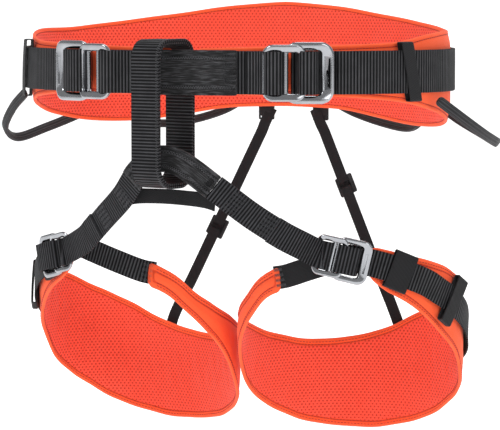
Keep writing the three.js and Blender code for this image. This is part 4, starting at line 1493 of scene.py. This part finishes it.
REAR_LOOP = [(168, 14, -38), (161, 22, -53), (152, 28, -64), (143, 28, -68), (136, 22, -60), (131, 14, -44)]
GEAR_LOOPS = {
    "side_left": [(76, 20, -29), (85, 34, -50), (95, 46, -67), (105, 58, -77), (113, 50, -70), (120, 30, -54),
                  (125, 15, -38)],
    "side_right": [(-82, 17, -28), (-88, 38, -46), (-93, 56, -68), (-99, 56, -80), (-107, 41, -70),
                   (-115, 28, -58), (-123, 15, -44)],
    "rear_left": REAR_LOOP,
    "rear_right": [(-bearing, out, z) for bearing, out, z in REAR_LOOP],
}
JACKET_WIDTH = 0.0100
JACKET_THICKNESS = 0.0054
JACKET_RIDGES = 14
JACKET_GIRTH = 0.022
JACKET_POINTS = 130
# Jacket black, with a painted highlight for the crests of its ridges.
JACKET_BLACK = (0.002, 0.002, 0.0025, 1)
JACKET_PAINTED_HIGHLIGHT = (0.060, 0.060, 0.066, 1)

jacket, tree, shader = fabric_material("ribbed_jacket", 0.5, 0.05)
surface = add_node(tree, "ShaderNodeUVMap", uv_map="cloth").outputs[0]
braid = place_group(tree, fine_weave, Vector=surface, Pitch=0.0014).outputs["Height"]
ridge = add_node(tree, "ShaderNodeAttribute", attribute_name="ridge").outputs["Fac"]
cloud = place_group(tree, handling, Vector=surface, Scale=50.0).outputs["Cloud"]
# Painted light: the ridge crests get a painted highlight, brightest where the braid rises, and the black
# between them is painted shade.
painted_crest_light = maths(tree, "MULTIPLY", ridge, maths(tree, "MULTIPLY_ADD", braid, 0.4, 0.6))
tree.links.new(mix_colours(tree, painted_crest_light, JACKET_BLACK, JACKET_PAINTED_HIGHLIGHT), shader.inputs["Base Color"])
tree.links.new(maths(tree, "MULTIPLY_ADD", cloud, 0.15, 0.45), shader.inputs["Roughness"])
add_bump(tree, shader, braid, 0.0003)

for name, corners in GEAR_LOOPS.items():
    b, out, z = np.array(corners).T
    places = on_waist(b, out * 0.001, z * 0.001)
    line = smooth_curve(places, JACKET_POINTS)
    centre = places.mean(axis=0)
    ahead = unit_rows(np.gradient(line, axis=0))
    plane = np.cross(places[0] - centre, places[-1] - centre)
    flat = np.tile(plane / np.linalg.norm(plane), (JACKET_POINTS, 1))
    tall = unit_rows(np.cross(ahead, flat))
    flat = np.cross(tall, ahead)
    piece, u, s = wrapped_tube("gear_loop_" + name + "_jacket", JACKET_RIDGES * 4, JACKET_POINTS - 1)
    index = np.round(u * (JACKET_POINTS - 1)).astype(int)
    turn = 2 * np.pi * s
    ridge = 0.5 + 0.5 * np.cos(turn * JACKET_RIDGES)
    grow = 1 + 0.09 * (ridge - 0.5)
    end = np.minimum(index, JACKET_POINTS - 1 - index)
    taper = np.where(end == 0, 0.55, np.where(end == 1, 0.9, 1.0))
    across = np.sign(np.cos(turn)) * np.abs(np.cos(turn)) ** 0.7 * JACKET_WIDTH / 2 * grow * taper
    up = np.sign(np.sin(turn)) * np.abs(np.sin(turn)) ** 0.7 * JACKET_THICKNESS / 2 * grow * taper
    set_points(piece, line[index] + flat[index] * across[:, None] + tall[index] * up[:, None])
    lengths = lengths_of(line)
    keep_values(piece, "run", lengths[index])
    keep_values(piece, "girth", s * JACKET_GIRTH)
    keep_values(piece, "ridge", ridge)
    close_tube(piece)
    lay_cloth_map(piece, read_values(piece, "run"), read_values(piece, "girth"))
    bpy.ops.object.shade_smooth()
    piece.data.materials.append(jacket)
    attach(piece, "gear_" + name)
    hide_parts("gear_loop_" + name)


# ---- Sizes -----------------------------------------------------------------------------------
# The box of the finished saddle. The box of the imported frame is taken just after the import.

low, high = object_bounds()
